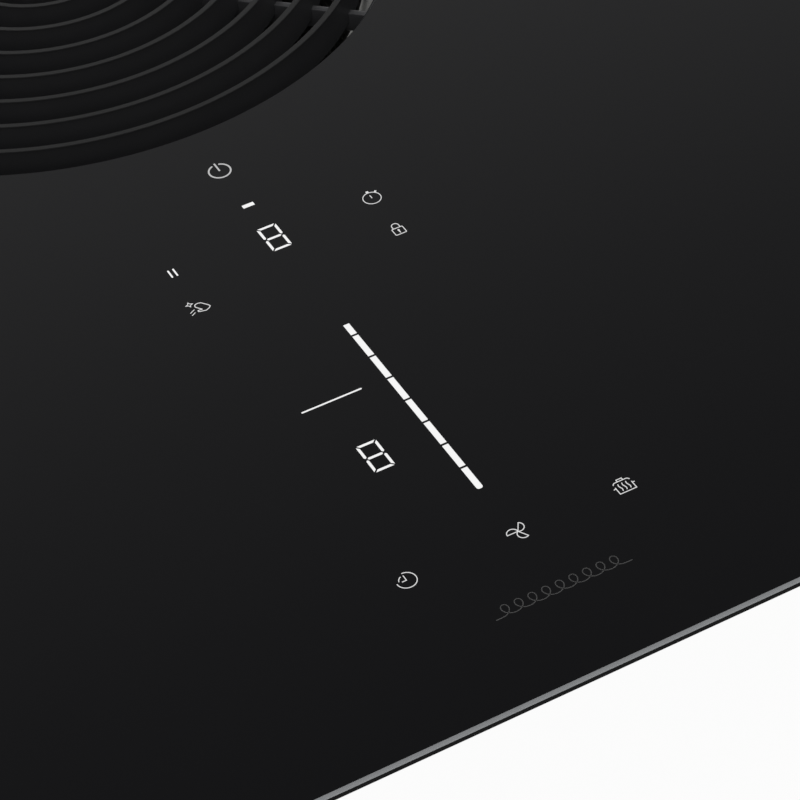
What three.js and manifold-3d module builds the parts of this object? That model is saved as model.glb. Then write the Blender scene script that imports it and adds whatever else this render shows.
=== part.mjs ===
// A built-in induction cooktop with a downdraft extractor: black ceramic glass with four cooking zones, a
// round intake in the middle, and touch controls between the intake and the front edge. Below the glass hang
// the pan with the coils and electronics, and the fan unit that blows to the back.
// Millimetres, +Z up, front at -Y. The origin is at the centre of the base that the whole unit stands on.

import * as THREE from "three";
import { mergeVertices } from "three/addons/utils/BufferGeometryUtils.js";
import Module from "manifold-3d";

const wasm = await Module();
wasm.setup();

// ---- Driving dimensions ----

const HEIGHT = 210; // glass top above the base
const GLASS = { width: 780, depth: 520, thick: 4, corner: 5, arris: 0.7, land: 0.85, undercut: 3.2 };
const SEAL = { inset: 6, width: 11, thick: 3 };
const INTAKE_R = 82.6; // hole in the glass
const SHEET = 1.5; // steel sheet
const MOULD = 2.5; // moulded plastic wall
const FIT = 0.3; // clearance round a piece that is dropped into another

// The pan is drawn in two steps: a shallow rim that centres in the worktop and a deeper, smaller box.
const PAN = { rimInset: 20, boxInset: 48, ledgeZ: 190, floorZ: 162, corner: 14 };

const COIL = { r: 94, bore: 21, thick: 5.5, x: 226, y: 108 };
const COIL_TRAY = { x0: 106, x1: 362, halfY: 226, thick: 1.5 };
const HOLDER = { x: 216, y: -40, width: 214, depth: 184, height: 7 };
const BOARD = { width: 204, depth: 174, thick: 1.6 };
const HEAT_SINK = { width: 150, depth: 46, height: 15, fins: 13, base: 4 };
const COOLER = { x: 252, y: 132, size: 72, height: 15, bore: 33, hub: 14, blades: 7 };

const CONTROL = { halfX: 47, y0: -233, y1: -89, holder: 7.5, board: 1.6 };
// Where light comes through the glass: keys in three columns, two digits, a line, a bar and the slider.
const KEYS = { x: 22.6, size: 8, power: -97.2, upper: -122.6, lower: -134.6, front: -223 };
const DIGITS = { width: 8, depth: 11, zone: [0, -123.1], timer: [-12.5, -191.3] };
const LAMPS = { bar: -110.9, line: [-12.5, -173.4], lineWidth: 15, depth: 3 };
const SLIDER = { y0: -209.6, y1: -155.2, width: 4 };

const RINGS = { count: 8, thick: 1.2, pitch: 8.9, first: 74, topZ: HEIGHT - 0.3, height: 8.7 };
const GRILLE_RIB = { count: 4, thick: 2, z0: 198.6, z1: 203.4, reach: 79.4 };
const WELL = { outer: 82.2, rimInner: 80.2, inner: 76, tube: 78.5, lidHole: 77, ledgeZ: 196, topZ: 207 };
const BASKET = { flange: 79.6, outer: 73, foot: 70, wall: 1.5, floorZ: 76 };
const SLOT = { count: 12, width: 26, z0: 92, z1: 182 };
const MESH = { thick: 1, z0: 88, z1: 186 };
const TRAY = { outer: 74.5, wall: 1.5, z0: 2.8, z1: 40 };

const PLENUM = { x0: -66, x1: 330, y0: -45, y1: 172, corner: 22, nose: 84, lidZ: 43 };
const FAN = { x: 215, y: 60, inletR: 66, tongueR: 95, endR: 124, tongueDeg: 60, topZ: 150, mouthY: 176 };
const WHEEL = { r: 86, inner: 71, z0: 57, z1: 118, blades: 32, bladeThick: 1.6, hub: 13, plate: 2 };
const MOTOR = { r: 46, z0: 126, shaft: 4, play: 0.05, socket: 12 };
const DUCT = { x0: 190, x1: 339, y1: 240, spigotY: 254, z0: 52, z1: 144, flange: 6 };

const FLAP = { y: 246, drop: 3.2, gap: 0.7, barrel: 2.2, thick: 1.4 };

const CLAMP = { x: 356, y: 140, screwR: 2.5, headR: 4.5, nut: 5, z0: 128, armZ: 150 };
const CLAMP_ARM = { reach: 62, width: 16, thick: 3, toe: 7 };
const TERMINAL = { x0: -190, x1: -86, y0: 128, y1: 196, z0: 128, cover: 2 };
const GLAND = { z: 142, x: -138, r: 10, length: 16 };
const STRAP = { front: [95, -42], back: [10, 168], width: 18, thick: 2 };
const BUFFER = { r: 8, waist: 6, places: [[150, 0], [288, 0], [215, 128]] };

const GLASS_BOTTOM = HEIGHT - GLASS.thick;
const LID_TOP = PLENUM.lidZ + MOULD;

// ---- Materials ----

function finish(color, roughness, metalness) {
  return new THREE.MeshStandardMaterial({ color, roughness, metalness });
}

const MATERIAL = {
  glass: finish(0x0b0b0c, 0.06, 0),
  seal: finish(0x1c1c1c, 0.95, 0),
  zinc: finish(0xa9adb0, 0.45, 0.9),
  aluminium: finish(0xb9bcc0, 0.4, 0.9),
  black: finish(0x141415, 0.6, 0),
  cast: finish(0x1b1b1c, 0.5, 0.3),
  steel: finish(0xb4b5b6, 0.3, 1),
  copper: finish(0xa8623a, 0.4, 0.9),
  board: finish(0x1d4a2e, 0.6, 0),
  rubber: finish(0x151515, 0.9, 0),
  grey: finish(0x6d7073, 0.6, 0),
};

// ---- Solids: three.js geometry in, manifold-3d bodies between, one mesh per piece out ----

function solid(geometry) {
  const bare = new THREE.BufferGeometry();
  const flat = geometry.index ? geometry.toNonIndexed() : geometry;
  bare.setAttribute("position", flat.getAttribute("position"));
  const merged = mergeVertices(bare, 1e-4);
  const vertProperties = merged.attributes.position.array;
  const triVerts = new Uint32Array(merged.index.array);
  return new wasm.Manifold(new wasm.Mesh({ numProp: 3, vertProperties, triVerts }));
}

function geometryOf(body) {
  const mesh = body.getMesh();
  const geometry = new THREE.BufferGeometry();
  geometry.setAttribute("position", new THREE.BufferAttribute(new Float32Array(mesh.vertProperties), 3));
  geometry.setIndex(new THREE.BufferAttribute(new Uint32Array(mesh.triVerts), 1));
  geometry.computeVertexNormals();
  return geometry;
}

const joined = (bodies) => bodies.reduce((sum, body) => sum.add(body));
const cutBy = (body, tools) => tools.reduce((rest, tool) => rest.subtract(tool), body);

// An outline stood up from z0 to z1.
function prism(shape, z0, z1, curveSegments = 4) {
  const made = new THREE.ExtrudeGeometry(shape, { depth: z1 - z0, bevelEnabled: false, curveSegments });
  return solid(made.translate(0, 0, z0));
}

function rectangle(x0, x1, y0, y1, radius = 0) {
  const shape = new THREE.Shape();
  if (!radius) {
    shape.moveTo(x0, y0).lineTo(x1, y0).lineTo(x1, y1).lineTo(x0, y1);
    return shape;
  }
  const r = radius;
  shape.moveTo(x0 + r, y0);
  shape.lineTo(x1 - r, y0).absarc(x1 - r, y0 + r, r, -Math.PI / 2, 0);
  shape.lineTo(x1, y1 - r).absarc(x1 - r, y1 - r, r, 0, Math.PI / 2);
  shape.lineTo(x0 + r, y1).absarc(x0 + r, y1 - r, r, Math.PI / 2, Math.PI);
  shape.lineTo(x0, y0 + r).absarc(x0 + r, y0 + r, r, Math.PI, 1.5 * Math.PI);
  return shape;
}

const block = (x0, x1, y0, y1, z0, z1, radius) => prism(rectangle(x0, x1, y0, y1, radius), z0, z1);

// A rectangle centred on the glass, as far in from the glass edge as inset says.
function insetBlock(inset, z0, z1, radius) {
  const x = GLASS.width / 2 - inset;
  const y = GLASS.depth / 2 - inset;
  return block(-x, x, -y, y, z0, z1, radius);
}

// A closed profile of [radius, height] points turned about the vertical axis at (x, y).
function turned(profile, segments = 32, x = 0, y = 0) {
  let area = 0;
  profile.forEach(([r, z], i) => {
    const [nextR, nextZ] = profile[(i + 1) % profile.length];
    area += r * nextZ - nextR * z;
  });
  const points = profile.map(([r, z]) => new THREE.Vector2(Math.max(r, 0), z));
  if (area < 0) points.reverse();
  const onAxis = points.some((p) => p.x === 0);
  if (onAxis) {
    while (!(points[0].x === 0 && points.at(-1).x === 0)) points.push(points.shift());
  } else points.push(points[0].clone());
  const made = new THREE.LatheGeometry(points, segments).rotateX(Math.PI / 2);
  return solid(made.translate(x, y, 0));
}

const disc = (r, z0, z1, x = 0, y = 0, segments = 24) =>
  turned([[0, z0], [r, z0], [r, z1], [0, z1]], segments, x, y);
const ring = (outer, inner, z0, z1, x = 0, y = 0, segments = 32) =>
  turned([[inner, z0], [outer, z0], [outer, z1], [inner, z1]], segments, x, y);

// A skin through convex loops of equally many points, closed at both ends.
function lofted(loops) {
  const points = loops.flat();
  const count = loops[0].length;
  const index = [];
  for (let level = 0; level + 1 < loops.length; level++) {
    for (let i = 0; i < count; i++) {
      const a = level * count + i;
      const b = level * count + ((i + 1) % count);
      index.push(a, b, b + count, a, b + count, a + count);
    }
  }
  const last = (loops.length - 1) * count;
  for (let i = 1; i + 1 < count; i++) {
    index.push(0, i + 1, i, last, last + i, last + i + 1);
  }
  const geometry = new THREE.BufferGeometry().setFromPoints(points);
  geometry.setIndex(index);
  return solid(geometry);
}

function levelLoop(inset, z, radius) {
  const x = GLASS.width / 2 - inset;
  const y = GLASS.depth / 2 - inset;
  const outline = rectangle(-x, x, -y, y, radius).getPoints(4);
  if (outline[0].distanceTo(outline.at(-1)) < 1e-6) outline.pop();
  return outline.map((p) => new THREE.Vector3(p.x, p.y, z));
}

function turnAbout(body, degrees, x = 0, y = 0) {
  return body.translate([-x, -y, 0]).rotate([0, 0, degrees]).translate([x, y, 0]);
}

const cooktop = new THREE.Group();

function add(name, body, material) {
  const mesh = new THREE.Mesh(geometryOf(body), material);
  mesh.name = name;
  cooktop.add(mesh);
}

// ---- Glass ----

// The edge is ground: a narrow arris above, an upright land, and a wide undercut that hides the rest.
function glassTop() {
  const landTop = HEIGHT - GLASS.arris;
  const landBottom = landTop - GLASS.land;
  const plate = lofted([
    levelLoop(GLASS.undercut, GLASS_BOTTOM, GLASS.corner - 2),
    levelLoop(0, landBottom, GLASS.corner),
    levelLoop(0, landTop, GLASS.corner),
    levelLoop(GLASS.arris, HEIGHT, GLASS.corner - GLASS.arris),
  ]);
  return plate.subtract(disc(INTAKE_R, GLASS_BOTTOM - 1, HEIGHT + 1, 0, 0, 72));
}

function glassSeal() {
  const z0 = GLASS_BOTTOM - SEAL.thick;
  const outer = insetBlock(SEAL.inset, z0, GLASS_BOTTOM, 8);
  return outer.subtract(insetBlock(SEAL.inset + SEAL.width, z0 - 1, GLASS_BOTTOM + 1, 6));
}

// ---- Pan with coils and electronics ----

function basePan() {
  const ledgeTop = PAN.ledgeZ + SHEET;
  const floorTop = PAN.floorZ + SHEET;
  const rim = insetBlock(PAN.rimInset, PAN.ledgeZ, GLASS_BOTTOM, PAN.corner);
  const box = insetBlock(PAN.boxInset, PAN.floorZ, ledgeTop, PAN.corner);
  const rimInside = insetBlock(PAN.rimInset + SHEET, ledgeTop, GLASS_BOTTOM + 1, PAN.corner - SHEET);
  const boxInside = insetBlock(PAN.boxInset + SHEET, floorTop, ledgeTop + 1, PAN.corner - SHEET);
  const holes = [disc(INTAKE_R + FIT, PAN.floorZ - 1, floorTop + 1, 0, 0, 32)];
  for (const side of [-1, 1]) {
    holes.push(disc(COOLER.bore, PAN.floorZ - 1, floorTop + 1, side * COOLER.x, COOLER.y, 16));
    for (let row = 0; row < 6; row++) {
      const x = side * (150 + row * 32);
      holes.push(block(x - 4, x + 4, -196, -160, PAN.floorZ - 1, floorTop + 1));
    }
    for (const end of [-1, 1]) {
      holes.push(disc(CLAMP.screwR + FIT, PAN.ledgeZ - 1, ledgeTop + 1, side * CLAMP.x, end * CLAMP.y, 12));
    }
  }
  return cutBy(rim.add(box), [rimInside, boxInside, ...holes]);
}

function coilTray(side) {
  const z0 = PAN.ledgeZ + SHEET;
  const { x0, x1, halfY, thick } = COIL_TRAY;
  const [left, right] = side > 0 ? [x0, x1] : [-x1, -x0];
  const plate = block(left, right, -halfY, halfY, z0, z0 + thick, 8);
  const holes = [];
  for (const end of [-1, 1]) {
    holes.push(disc(COIL.bore, z0 - 1, z0 + thick + 1, side * COIL.x, end * COIL.y, 16));
    holes.push(disc(CLAMP.headR + 2, z0 - 1, z0 + thick + 1, side * CLAMP.x, end * CLAMP.y, 10));
  }
  return cutBy(plate, holes);
}

function inductionCoil(side, end) {
  const z0 = PAN.ledgeZ + SHEET + COIL_TRAY.thick;
  return ring(COIL.r, COIL.bore, z0, z0 + COIL.thick, side * COIL.x, end * COIL.y, 24);
}

function electronicsHolder(side) {
  const z0 = PAN.floorZ + SHEET;
  const x = side * HOLDER.x;
  const outer = block(x - HOLDER.width / 2, x + HOLDER.width / 2, HOLDER.y - HOLDER.depth / 2,
    HOLDER.y + HOLDER.depth / 2, z0, z0 + HOLDER.height, 6);
  const inner = block(x - HOLDER.width / 2 + 8, x + HOLDER.width / 2 - 8, HOLDER.y - HOLDER.depth / 2 + 8,
    HOLDER.y + HOLDER.depth / 2 - 8, z0 + 2, z0 + HOLDER.height + 1);
  return outer.subtract(inner);
}

function inverterBoard(side) {
  const z0 = PAN.floorZ + SHEET + HOLDER.height;
  const x = side * HOLDER.x;
  const board = block(x - BOARD.width / 2, x + BOARD.width / 2, HOLDER.y - BOARD.depth / 2,
    HOLDER.y + BOARD.depth / 2, z0, z0 + BOARD.thick);
  const parts = [board];
  // Film capacitors and a filter choke stand along the front edge.
  for (let i = 0; i < 4; i++) {
    const left = x - 84 + i * 34;
    parts.push(block(left, left + 26, HOLDER.y - 78, HOLDER.y - 54, z0 + 1, z0 + 15));
  }
  parts.push(disc(15, z0 + 1, z0 + 14, x + 72, HOLDER.y - 62, 16));
  return joined(parts);
}

function heatSink(side) {
  const z0 = PAN.floorZ + SHEET + HOLDER.height + BOARD.thick;
  const x0 = side * HOLDER.x - HEAT_SINK.width / 2;
  const y0 = HOLDER.y - HEAT_SINK.depth / 2 + 18;
  const pitch = HEAT_SINK.width / HEAT_SINK.fins;
  const shape = new THREE.Shape();
  shape.moveTo(x0, 0).lineTo(x0 + HEAT_SINK.width, 0);
  for (let i = HEAT_SINK.fins - 1; i >= 0; i--) {
    const left = x0 + i * pitch;
    shape.lineTo(left + pitch, HEAT_SINK.base);
    shape.lineTo(left + pitch * 0.65, HEAT_SINK.base);
    shape.lineTo(left + pitch * 0.55, HEAT_SINK.height);
    shape.lineTo(left + pitch * 0.35, HEAT_SINK.height);
    shape.lineTo(left + pitch * 0.25, HEAT_SINK.base);
  }
  shape.lineTo(x0, HEAT_SINK.base);
  const made = new THREE.ExtrudeGeometry(shape, { depth: HEAT_SINK.depth, bevelEnabled: false });
  return solid(made.rotateX(Math.PI / 2).translate(0, y0 + HEAT_SINK.depth, z0));
}

function coolerFrame(side) {
  const z0 = PAN.floorZ + SHEET;
  const { x, y, size, height, bore, hub } = COOLER;
  const cx = side * x;
  const outer = block(cx - size / 2, cx + size / 2, y - size / 2, y + size / 2, z0, z0 + height, 6);
  const shell = outer.subtract(disc(bore, z0 - 1, z0 + height + 1, cx, y, 20));
  const spider = [disc(hub, z0 + height - 2.5, z0 + height, cx, y, 12)];
  for (let i = 0; i < 3; i++) {
    const arm = block(cx, cx + bore + 1, y - 1.5, y + 1.5, z0 + height - 2.5, z0 + height);
    spider.push(turnAbout(arm, 90 + i * 120, cx, y));
  }
  return joined([shell, ...spider]);
}

// Swept blades, each a slanted slab cut to the round.
function coolerRotor(side) {
  const z0 = PAN.floorZ + SHEET + 1;
  const z1 = PAN.floorZ + SHEET + COOLER.height - 2.5 - FIT;
  const { x, y, hub, bore, blades } = COOLER;
  const cx = side * x;
  const parts = [disc(hub, z0, z1, cx, y, 14)];
  const reach = bore - 1.5;
  for (let i = 0; i < blades; i++) {
    const loops = [[z0 + 1, -8], [z1 - 1, 4]].map(([z, shift]) => [
      new THREE.Vector3(hub - 2, shift, z), new THREE.Vector3(reach - 1, shift - 3, z),
      new THREE.Vector3(reach - 1, shift - 0.6, z), new THREE.Vector3(hub - 2, shift + 2.4, z),
    ]);
    parts.push(lofted(loops).rotate([0, 0, (i * 360) / blades]).translate([cx, y, 0]));
  }
  return joined(parts);
}

// ---- Touch controls under the glass ----

function controlHolder() {
  const z0 = PAN.ledgeZ + SHEET;
  const { halfX, y0, y1, holder } = CONTROL;
  const outer = block(-halfX, halfX, y0, y1, z0, z0 + holder, 4);
  const frame = outer.subtract(block(-halfX + 5, halfX - 5, y0 + 24, y1 - 5, z0 - 1, z0 + holder - 2));
  const legs = [-1, 1].map((side) =>
    block(side * (halfX - 6) - 5, side * (halfX - 6) + 5, y1 - 22, y1 - 8, PAN.floorZ + SHEET, z0 + 1));
  return joined([frame, ...legs]);
}

function controlBoard() {
  const z0 = PAN.ledgeZ + SHEET + CONTROL.holder;
  return block(-CONTROL.halfX, CONTROL.halfX, CONTROL.y0, CONTROL.y1, z0, z0 + CONTROL.board, 4);
}

function lightGuide() {
  const z0 = PAN.ledgeZ + SHEET + CONTROL.holder + CONTROL.board;
  const z1 = GLASS_BOTTOM;
  const { halfX, y0, y1 } = CONTROL;
  const window = (x, y, width, depth) =>
    block(x - width / 2, x + width / 2, y - depth / 2, y + depth / 2, z0 - 1, z1 + 1);
  const windows = [window(0, KEYS.power, KEYS.size, KEYS.size)];
  for (const x of [-KEYS.x, KEYS.x]) {
    windows.push(window(x, KEYS.upper, KEYS.size, KEYS.size));
    windows.push(window(x, KEYS.lower, KEYS.size, KEYS.size));
  }
  for (const x of [-KEYS.x, 0, KEYS.x]) windows.push(window(x, KEYS.front, KEYS.size, KEYS.size));
  for (const [x, y] of [DIGITS.zone, DIGITS.timer]) windows.push(window(x, y, DIGITS.width, DIGITS.depth));
  windows.push(window(0, LAMPS.bar, SLIDER.width, LAMPS.depth));
  windows.push(window(LAMPS.line[0], LAMPS.line[1], LAMPS.lineWidth, LAMPS.depth));
  windows.push(window(0, (SLIDER.y0 + SLIDER.y1) / 2, SLIDER.width, SLIDER.y1 - SLIDER.y0));
  return cutBy(block(-halfX, halfX, y0, y1, z0, z1, 4), windows);
}

// ---- Intake: well, grease filter, drip tray and ring grille ----

function inletWell() {
  const { outer, rimInner, inner, ledgeZ, topZ, tube } = WELL;
  return turned([
    [inner, LID_TOP], [tube, LID_TOP], [tube, ledgeZ - 9], [outer, ledgeZ - 5], [outer, topZ],
    [rimInner + 1, topZ], [rimInner, topZ - 1], [rimInner, ledgeZ], [inner, ledgeZ],
  ]);
}

function wellSeal() {
  return ring(88, INTAKE_R + FIT, GLASS_BOTTOM - SEAL.thick, GLASS_BOTTOM);
}

// Concentric rings on low radial ribs, so that from above only the rings show. The rib ends rest on the
// filter's rim.
function ventGrille() {
  const { count, thick, pitch, first, topZ, height } = RINGS;
  const parts = [];
  for (let i = 0; i < count; i++) {
    const r = first - i * pitch;
    const segments = Math.max(12, 4 * Math.round(r / 8));
    parts.push(ring(r + thick / 2, r - thick / 2, topZ - height, topZ, 0, 0, segments));
  }
  parts.push(disc(4, GRILLE_RIB.z0, topZ, 0, 0, 12));
  for (let i = 0; i < GRILLE_RIB.count; i++) {
    const { thick: rib, z0, z1, reach } = GRILLE_RIB;
    parts.push(turnAbout(block(0, reach, -rib / 2, rib / 2, z0, z1), 45 + (i * 360) / GRILLE_RIB.count));
  }
  return joined(parts);
}

// The basket widens from its foot to its rim: a floor, a wall with open windows and a flanged rim.
const BASKET_RIM_Z = WELL.ledgeZ + FIT;

function basketOuterAt(z) {
  return BASKET.foot + ((BASKET.outer - BASKET.foot) * (z - BASKET.floorZ)) / (BASKET_RIM_Z - BASKET.floorZ);
}

function filterFloor() {
  const { foot, wall, floorZ } = BASKET;
  return turned([[0, floorZ], [foot - wall, floorZ], [foot, floorZ + wall], [0, floorZ + wall]], 24);
}

function filterBasket() {
  const { wall, floorZ } = BASKET;
  const [low, high] = [floorZ + wall, SLOT.z1].map((z) => [basketOuterAt(z), z]);
  const tube = turned([[low[0] - wall, low[1]], low, high, [high[0] - wall, high[1]]], 24);
  const half = SLOT.width / 2;
  const windows = [];
  for (let i = 0; i < SLOT.count; i++) {
    const window = block(BASKET.foot - 9, BASKET.outer + 4, -half, half, SLOT.z0, SLOT.z1 + 1);
    windows.push(turnAbout(window, (i * 360) / SLOT.count));
  }
  return cutBy(tube, windows);
}

function filterRim() {
  const { flange, outer, wall } = BASKET;
  const foot = basketOuterAt(SLOT.z1);
  return turned([
    [foot - wall, SLOT.z1], [foot, SLOT.z1], [outer, BASKET_RIM_Z], [flange, BASKET_RIM_Z],
    [flange, BASKET_RIM_Z + 2], [outer - wall, BASKET_RIM_Z + 2],
  ], 24);
}

function filterMesh() {
  const { thick, z0, z1 } = MESH;
  const low = BASKET.foot - BASKET.wall - FIT;
  const top = BASKET.outer - BASKET.wall - FIT - 0.6;
  const foot = BASKET.floorZ + BASKET.wall;
  const footR = low - 1.2;
  return turned([
    [footR - thick, foot], [footR, foot], [low, z0], [top, z1], [top - thick, z1], [low - thick, z0],
  ], 24);
}

function trayFloor() {
  const { outer, wall, z0 } = TRAY;
  return turned([[0, z0], [outer - 4, z0], [outer - 2.5, z0 + wall], [0, z0 + wall]], 24);
}

function trayWall() {
  const { outer, wall, z0, z1 } = TRAY;
  return turned([
    [outer - 3, z0 + wall], [outer - 2.5, z0 + wall], [outer, z0 + 4], [outer, z1], [outer - wall, z1],
    [outer - wall, z0 + 3],
  ], 24);
}

// ---- Fan unit ----

function plenumOutline(grow, z0, z1) {
  const { x0, x1, y0, y1, corner, nose } = PLENUM;
  const box = block(x0 - grow, x1 + grow, y0 - grow, y1 + grow, z0, z1, corner + grow);
  return box.add(disc(nose + grow, z0, z1, 0, 0, 32));
}

function plenumBase() {
  return plenumOutline(0, 0, PLENUM.lidZ).subtract(plenumOutline(-MOULD, MOULD, PLENUM.lidZ + 1));
}

function plenumLid() {
  const z0 = PLENUM.lidZ;
  return cutBy(plenumOutline(0, z0, LID_TOP), [
    disc(WELL.lidHole, z0 - 1, LID_TOP + 1, 0, 0, 32),
    disc(FAN.inletR + MOULD, z0 - 1, LID_TOP + 1, FAN.x, FAN.y, 24),
  ]);
}

// The mouth of the fan: a flared ring in the lid.
function inletRing() {
  const r = FAN.inletR;
  const z0 = PLENUM.lidZ;
  return turned([
    [r, z0], [r + MOULD - FIT, z0], [r + MOULD - FIT, LID_TOP], [r + 7, LID_TOP], [r + 7, LID_TOP + 1.6],
    [r + 2, LID_TOP + 2.4], [r, LID_TOP + 7], [r - 1.6, LID_TOP + 7], [r - 1.6, LID_TOP],
  ], 24, FAN.x, FAN.y);
}

// A spiral that opens steadily from the tongue once round, then runs straight to the mouth at the back.
function scrollOutline(inward, mouthExtra) {
  const start = THREE.MathUtils.degToRad(FAN.tongueDeg);
  const mouth = FAN.mouthY - FAN.y + mouthExtra;
  const shape = new THREE.Shape();
  const steps = 24;
  const tongueX = (FAN.tongueR * Math.cos(start)) + inward;
  for (let i = 0; i <= steps; i++) {
    const share = i / steps;
    const angle = start + share * (2 * Math.PI - start);
    const r = FAN.tongueR + share * (FAN.endR - FAN.tongueR) - inward;
    const x = i === 0 ? tongueX : r * Math.cos(angle);
    const y = r * Math.sin(angle);
    if (i === 0) shape.moveTo(x, y);
    else shape.lineTo(x, y);
  }
  shape.lineTo(FAN.endR - inward, mouth);
  shape.lineTo(tongueX, mouth);
  return shape;
}

function scrollHousing() {
  const shell = prism(scrollOutline(0, 0), LID_TOP, FAN.topZ).translate([FAN.x, FAN.y, 0]);
  const inside = prism(scrollOutline(MOULD, 5), LID_TOP - 1, FAN.topZ - MOULD).translate([FAN.x, FAN.y, 0]);
  return cutBy(shell, [inside, disc(10, FAN.topZ - MOULD - 1, FAN.topZ + 1, FAN.x, FAN.y, 24)]);
}

// A drum of forward-curved blades between a top plate and a foot ring, open below where the air comes in.
function impeller() {
  const { r, inner, z0, z1, blades, bladeThick, hub, plate } = WHEEL;
  const depth = r - inner;
  const bore = MOTOR.shaft + MOTOR.play;
  const blade = new THREE.Shape();
  blade.moveTo(inner, 0);
  blade.quadraticCurveTo(inner + depth * 0.55, 0.5, r - 0.8, 8);
  blade.lineTo(r - 1.2, 8 + bladeThick);
  blade.quadraticCurveTo(inner + depth * 0.5, bladeThick + 0.9, inner, bladeThick);
  const parts = [
    disc(r, z1, z1 + plate, 0, 0, 32),
    ring(r, r - 4, z0, z0 + 3, 0, 0, 32),
    turned([[bore, z1 - 34], [hub, z1 - 34], [hub + 6, z1 + 0.5], [bore, z1 + 0.5]], 16),
  ];
  for (let i = 0; i < blades; i++) {
    parts.push(prism(blade, z0 + 0.5, z1 + 0.5, 2).rotate([0, 0, (i * 360) / blades]));
  }
  return joined(parts).subtract(disc(bore, z0, z1 + plate + 1, 0, 0, 16)).translate([FAN.x, FAN.y, 0]);
}

// The motor hangs from the housing's top, with a socket in its underside for the shaft. The socket is a
// many-sided hole, drawn wide enough for its flats to clear the turning shaft.
function fanMotor() {
  const sides = 16;
  const socketR = (MOTOR.shaft + MOTOR.play) / Math.cos(Math.PI / sides);
  const top = FAN.topZ - MOULD;
  const body = turned([
    [0, MOTOR.z0], [MOTOR.r - 6, MOTOR.z0], [MOTOR.r, MOTOR.z0 + 5], [MOTOR.r, top], [9.5, top],
    [9.5, FAN.topZ + 3], [0, FAN.topZ + 3],
  ], 28, FAN.x, FAN.y);
  return body.subtract(disc(socketR, MOTOR.z0 - 1, MOTOR.z0 + MOTOR.socket, FAN.x, FAN.y, sides));
}

// Runs from the motor down through the wheel's hub, with a nut below the hub.
function wheelShaft() {
  const hubFoot = WHEEL.z1 - 34;
  const rod = disc(MOTOR.shaft, hubFoot - 8, MOTOR.z0 + MOTOR.socket - 0.5, FAN.x, FAN.y, 16);
  return rod.add(disc(7, hubFoot - 6, hubFoot - MOTOR.play, FAN.x, FAN.y, 6));
}

function ductLoop(x0, x1, y, z0, z1) {
  return [[x0, z0], [x0, z1], [x1, z1], [x1, z0]].map(([x, z]) => new THREE.Vector3(x, y, z));
}

// Widens from the fan's mouth to the flat duct, then ends in a flange and a spigot for the duct to push over.
function outletAdapter() {
  const mouthX0 = FAN.x + FAN.tongueR * Math.cos(THREE.MathUtils.degToRad(FAN.tongueDeg));
  const mouthX1 = FAN.x + FAN.endR;
  const w = MOULD;
  const { x0, x1, y1, spigotY, z0, z1, flange } = DUCT;
  const skin = lofted([
    ductLoop(mouthX0, mouthX1, FAN.mouthY + FIT, LID_TOP + FIT, FAN.topZ),
    ductLoop(x0, x1, y1, z0, z1),
  ]);
  const inside = lofted([
    ductLoop(mouthX0 + w, mouthX1 - w, FAN.mouthY - 1, LID_TOP + w, FAN.topZ - w),
    ductLoop(x0 + w, x1 - w, y1, z0 + w, z1 - w),
  ]);
  const collar = block(x0 - flange, x1 + flange, y1 - 3, y1, z0 - flange, z1 + flange);
  const spigot = block(x0, x1, y1 - 1, spigotY, z0, z1);
  const bore = block(x0 + w, x1 - w, y1 - 0.5, spigotY + 1, z0 + w, z1 - w);
  return cutBy(joined([skin, collar, spigot]), [inside, bore]);
}

// Hangs shut from a barrel under the spigot's top wall and swings outward in the stream of air.
function outletFlap() {
  const { x0, x1, z0, z1 } = DUCT;
  const { y, drop, gap, barrel, thick } = FLAP;
  const left = x0 + MOULD + gap;
  const right = x1 - MOULD - gap;
  const pivotZ = z1 - MOULD - drop;
  const plate = block(left, right, y - thick / 2, y + thick / 2, z0 + MOULD + gap, pivotZ);
  const rod = disc(barrel, left, right, 0, 0, 12).rotate([0, 90, 0]).translate([0, y, pivotZ]);
  return plate.add(rod);
}

function spigotSeal() {
  const { x0, x1, y1, z0, z1 } = DUCT;
  const outer = block(x0 - 3, x1 + 3, y1, y1 + 5, z0 - 3, z1 + 3);
  return outer.subtract(block(x0 - FIT, x1 + FIT, y1 - 1, y1 + 6, z0 - FIT, z1 + FIT));
}

// ---- Supply terminals ----

function terminalBox() {
  const { x0, x1, y0, y1, z0 } = TERMINAL;
  const outer = block(x0, x1, y0, y1, z0, PAN.floorZ, 5);
  const inner = block(x0 + 2, x1 - 2, y0 + 2, y1 - 2, z0 - 1, PAN.floorZ - 3, 3);
  const strip = [];
  for (let i = 0; i < 5; i++) {
    const left = x0 + 14 + i * 16;
    strip.push(block(left, left + 12, y0 + 10, y0 + 30, z0 + 8, PAN.floorZ - 2));
  }
  const port = disc(GLAND.r + FIT, -4, 4, 0, 0, 16).rotate([90, 0, 0]).translate([GLAND.x, y1 - 1, GLAND.z]);
  return joined([outer.subtract(inner), ...strip]).subtract(port);
}

function terminalCover() {
  const { x0, x1, y0, y1, z0, cover } = TERMINAL;
  return block(x0, x1, y0, y1, z0 - cover, z0, 5);
}

function cableGland() {
  const { r, length, x, z } = GLAND;
  const profile = [
    [5, -8], [r - 1.5, -8], [r - 1.5, 0.4], [r, 0.4], [r, 0.6], [r + 3, 0.6], [r + 3, 7], [r + 0.5, 8],
    [r - 1, length], [5, length],
  ];
  return turned(profile, 16).rotate([-90, 0, 0]).translate([x, TERMINAL.y1, z]);
}

// ---- Worktop clamps, straps and rubber buffers ----

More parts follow.
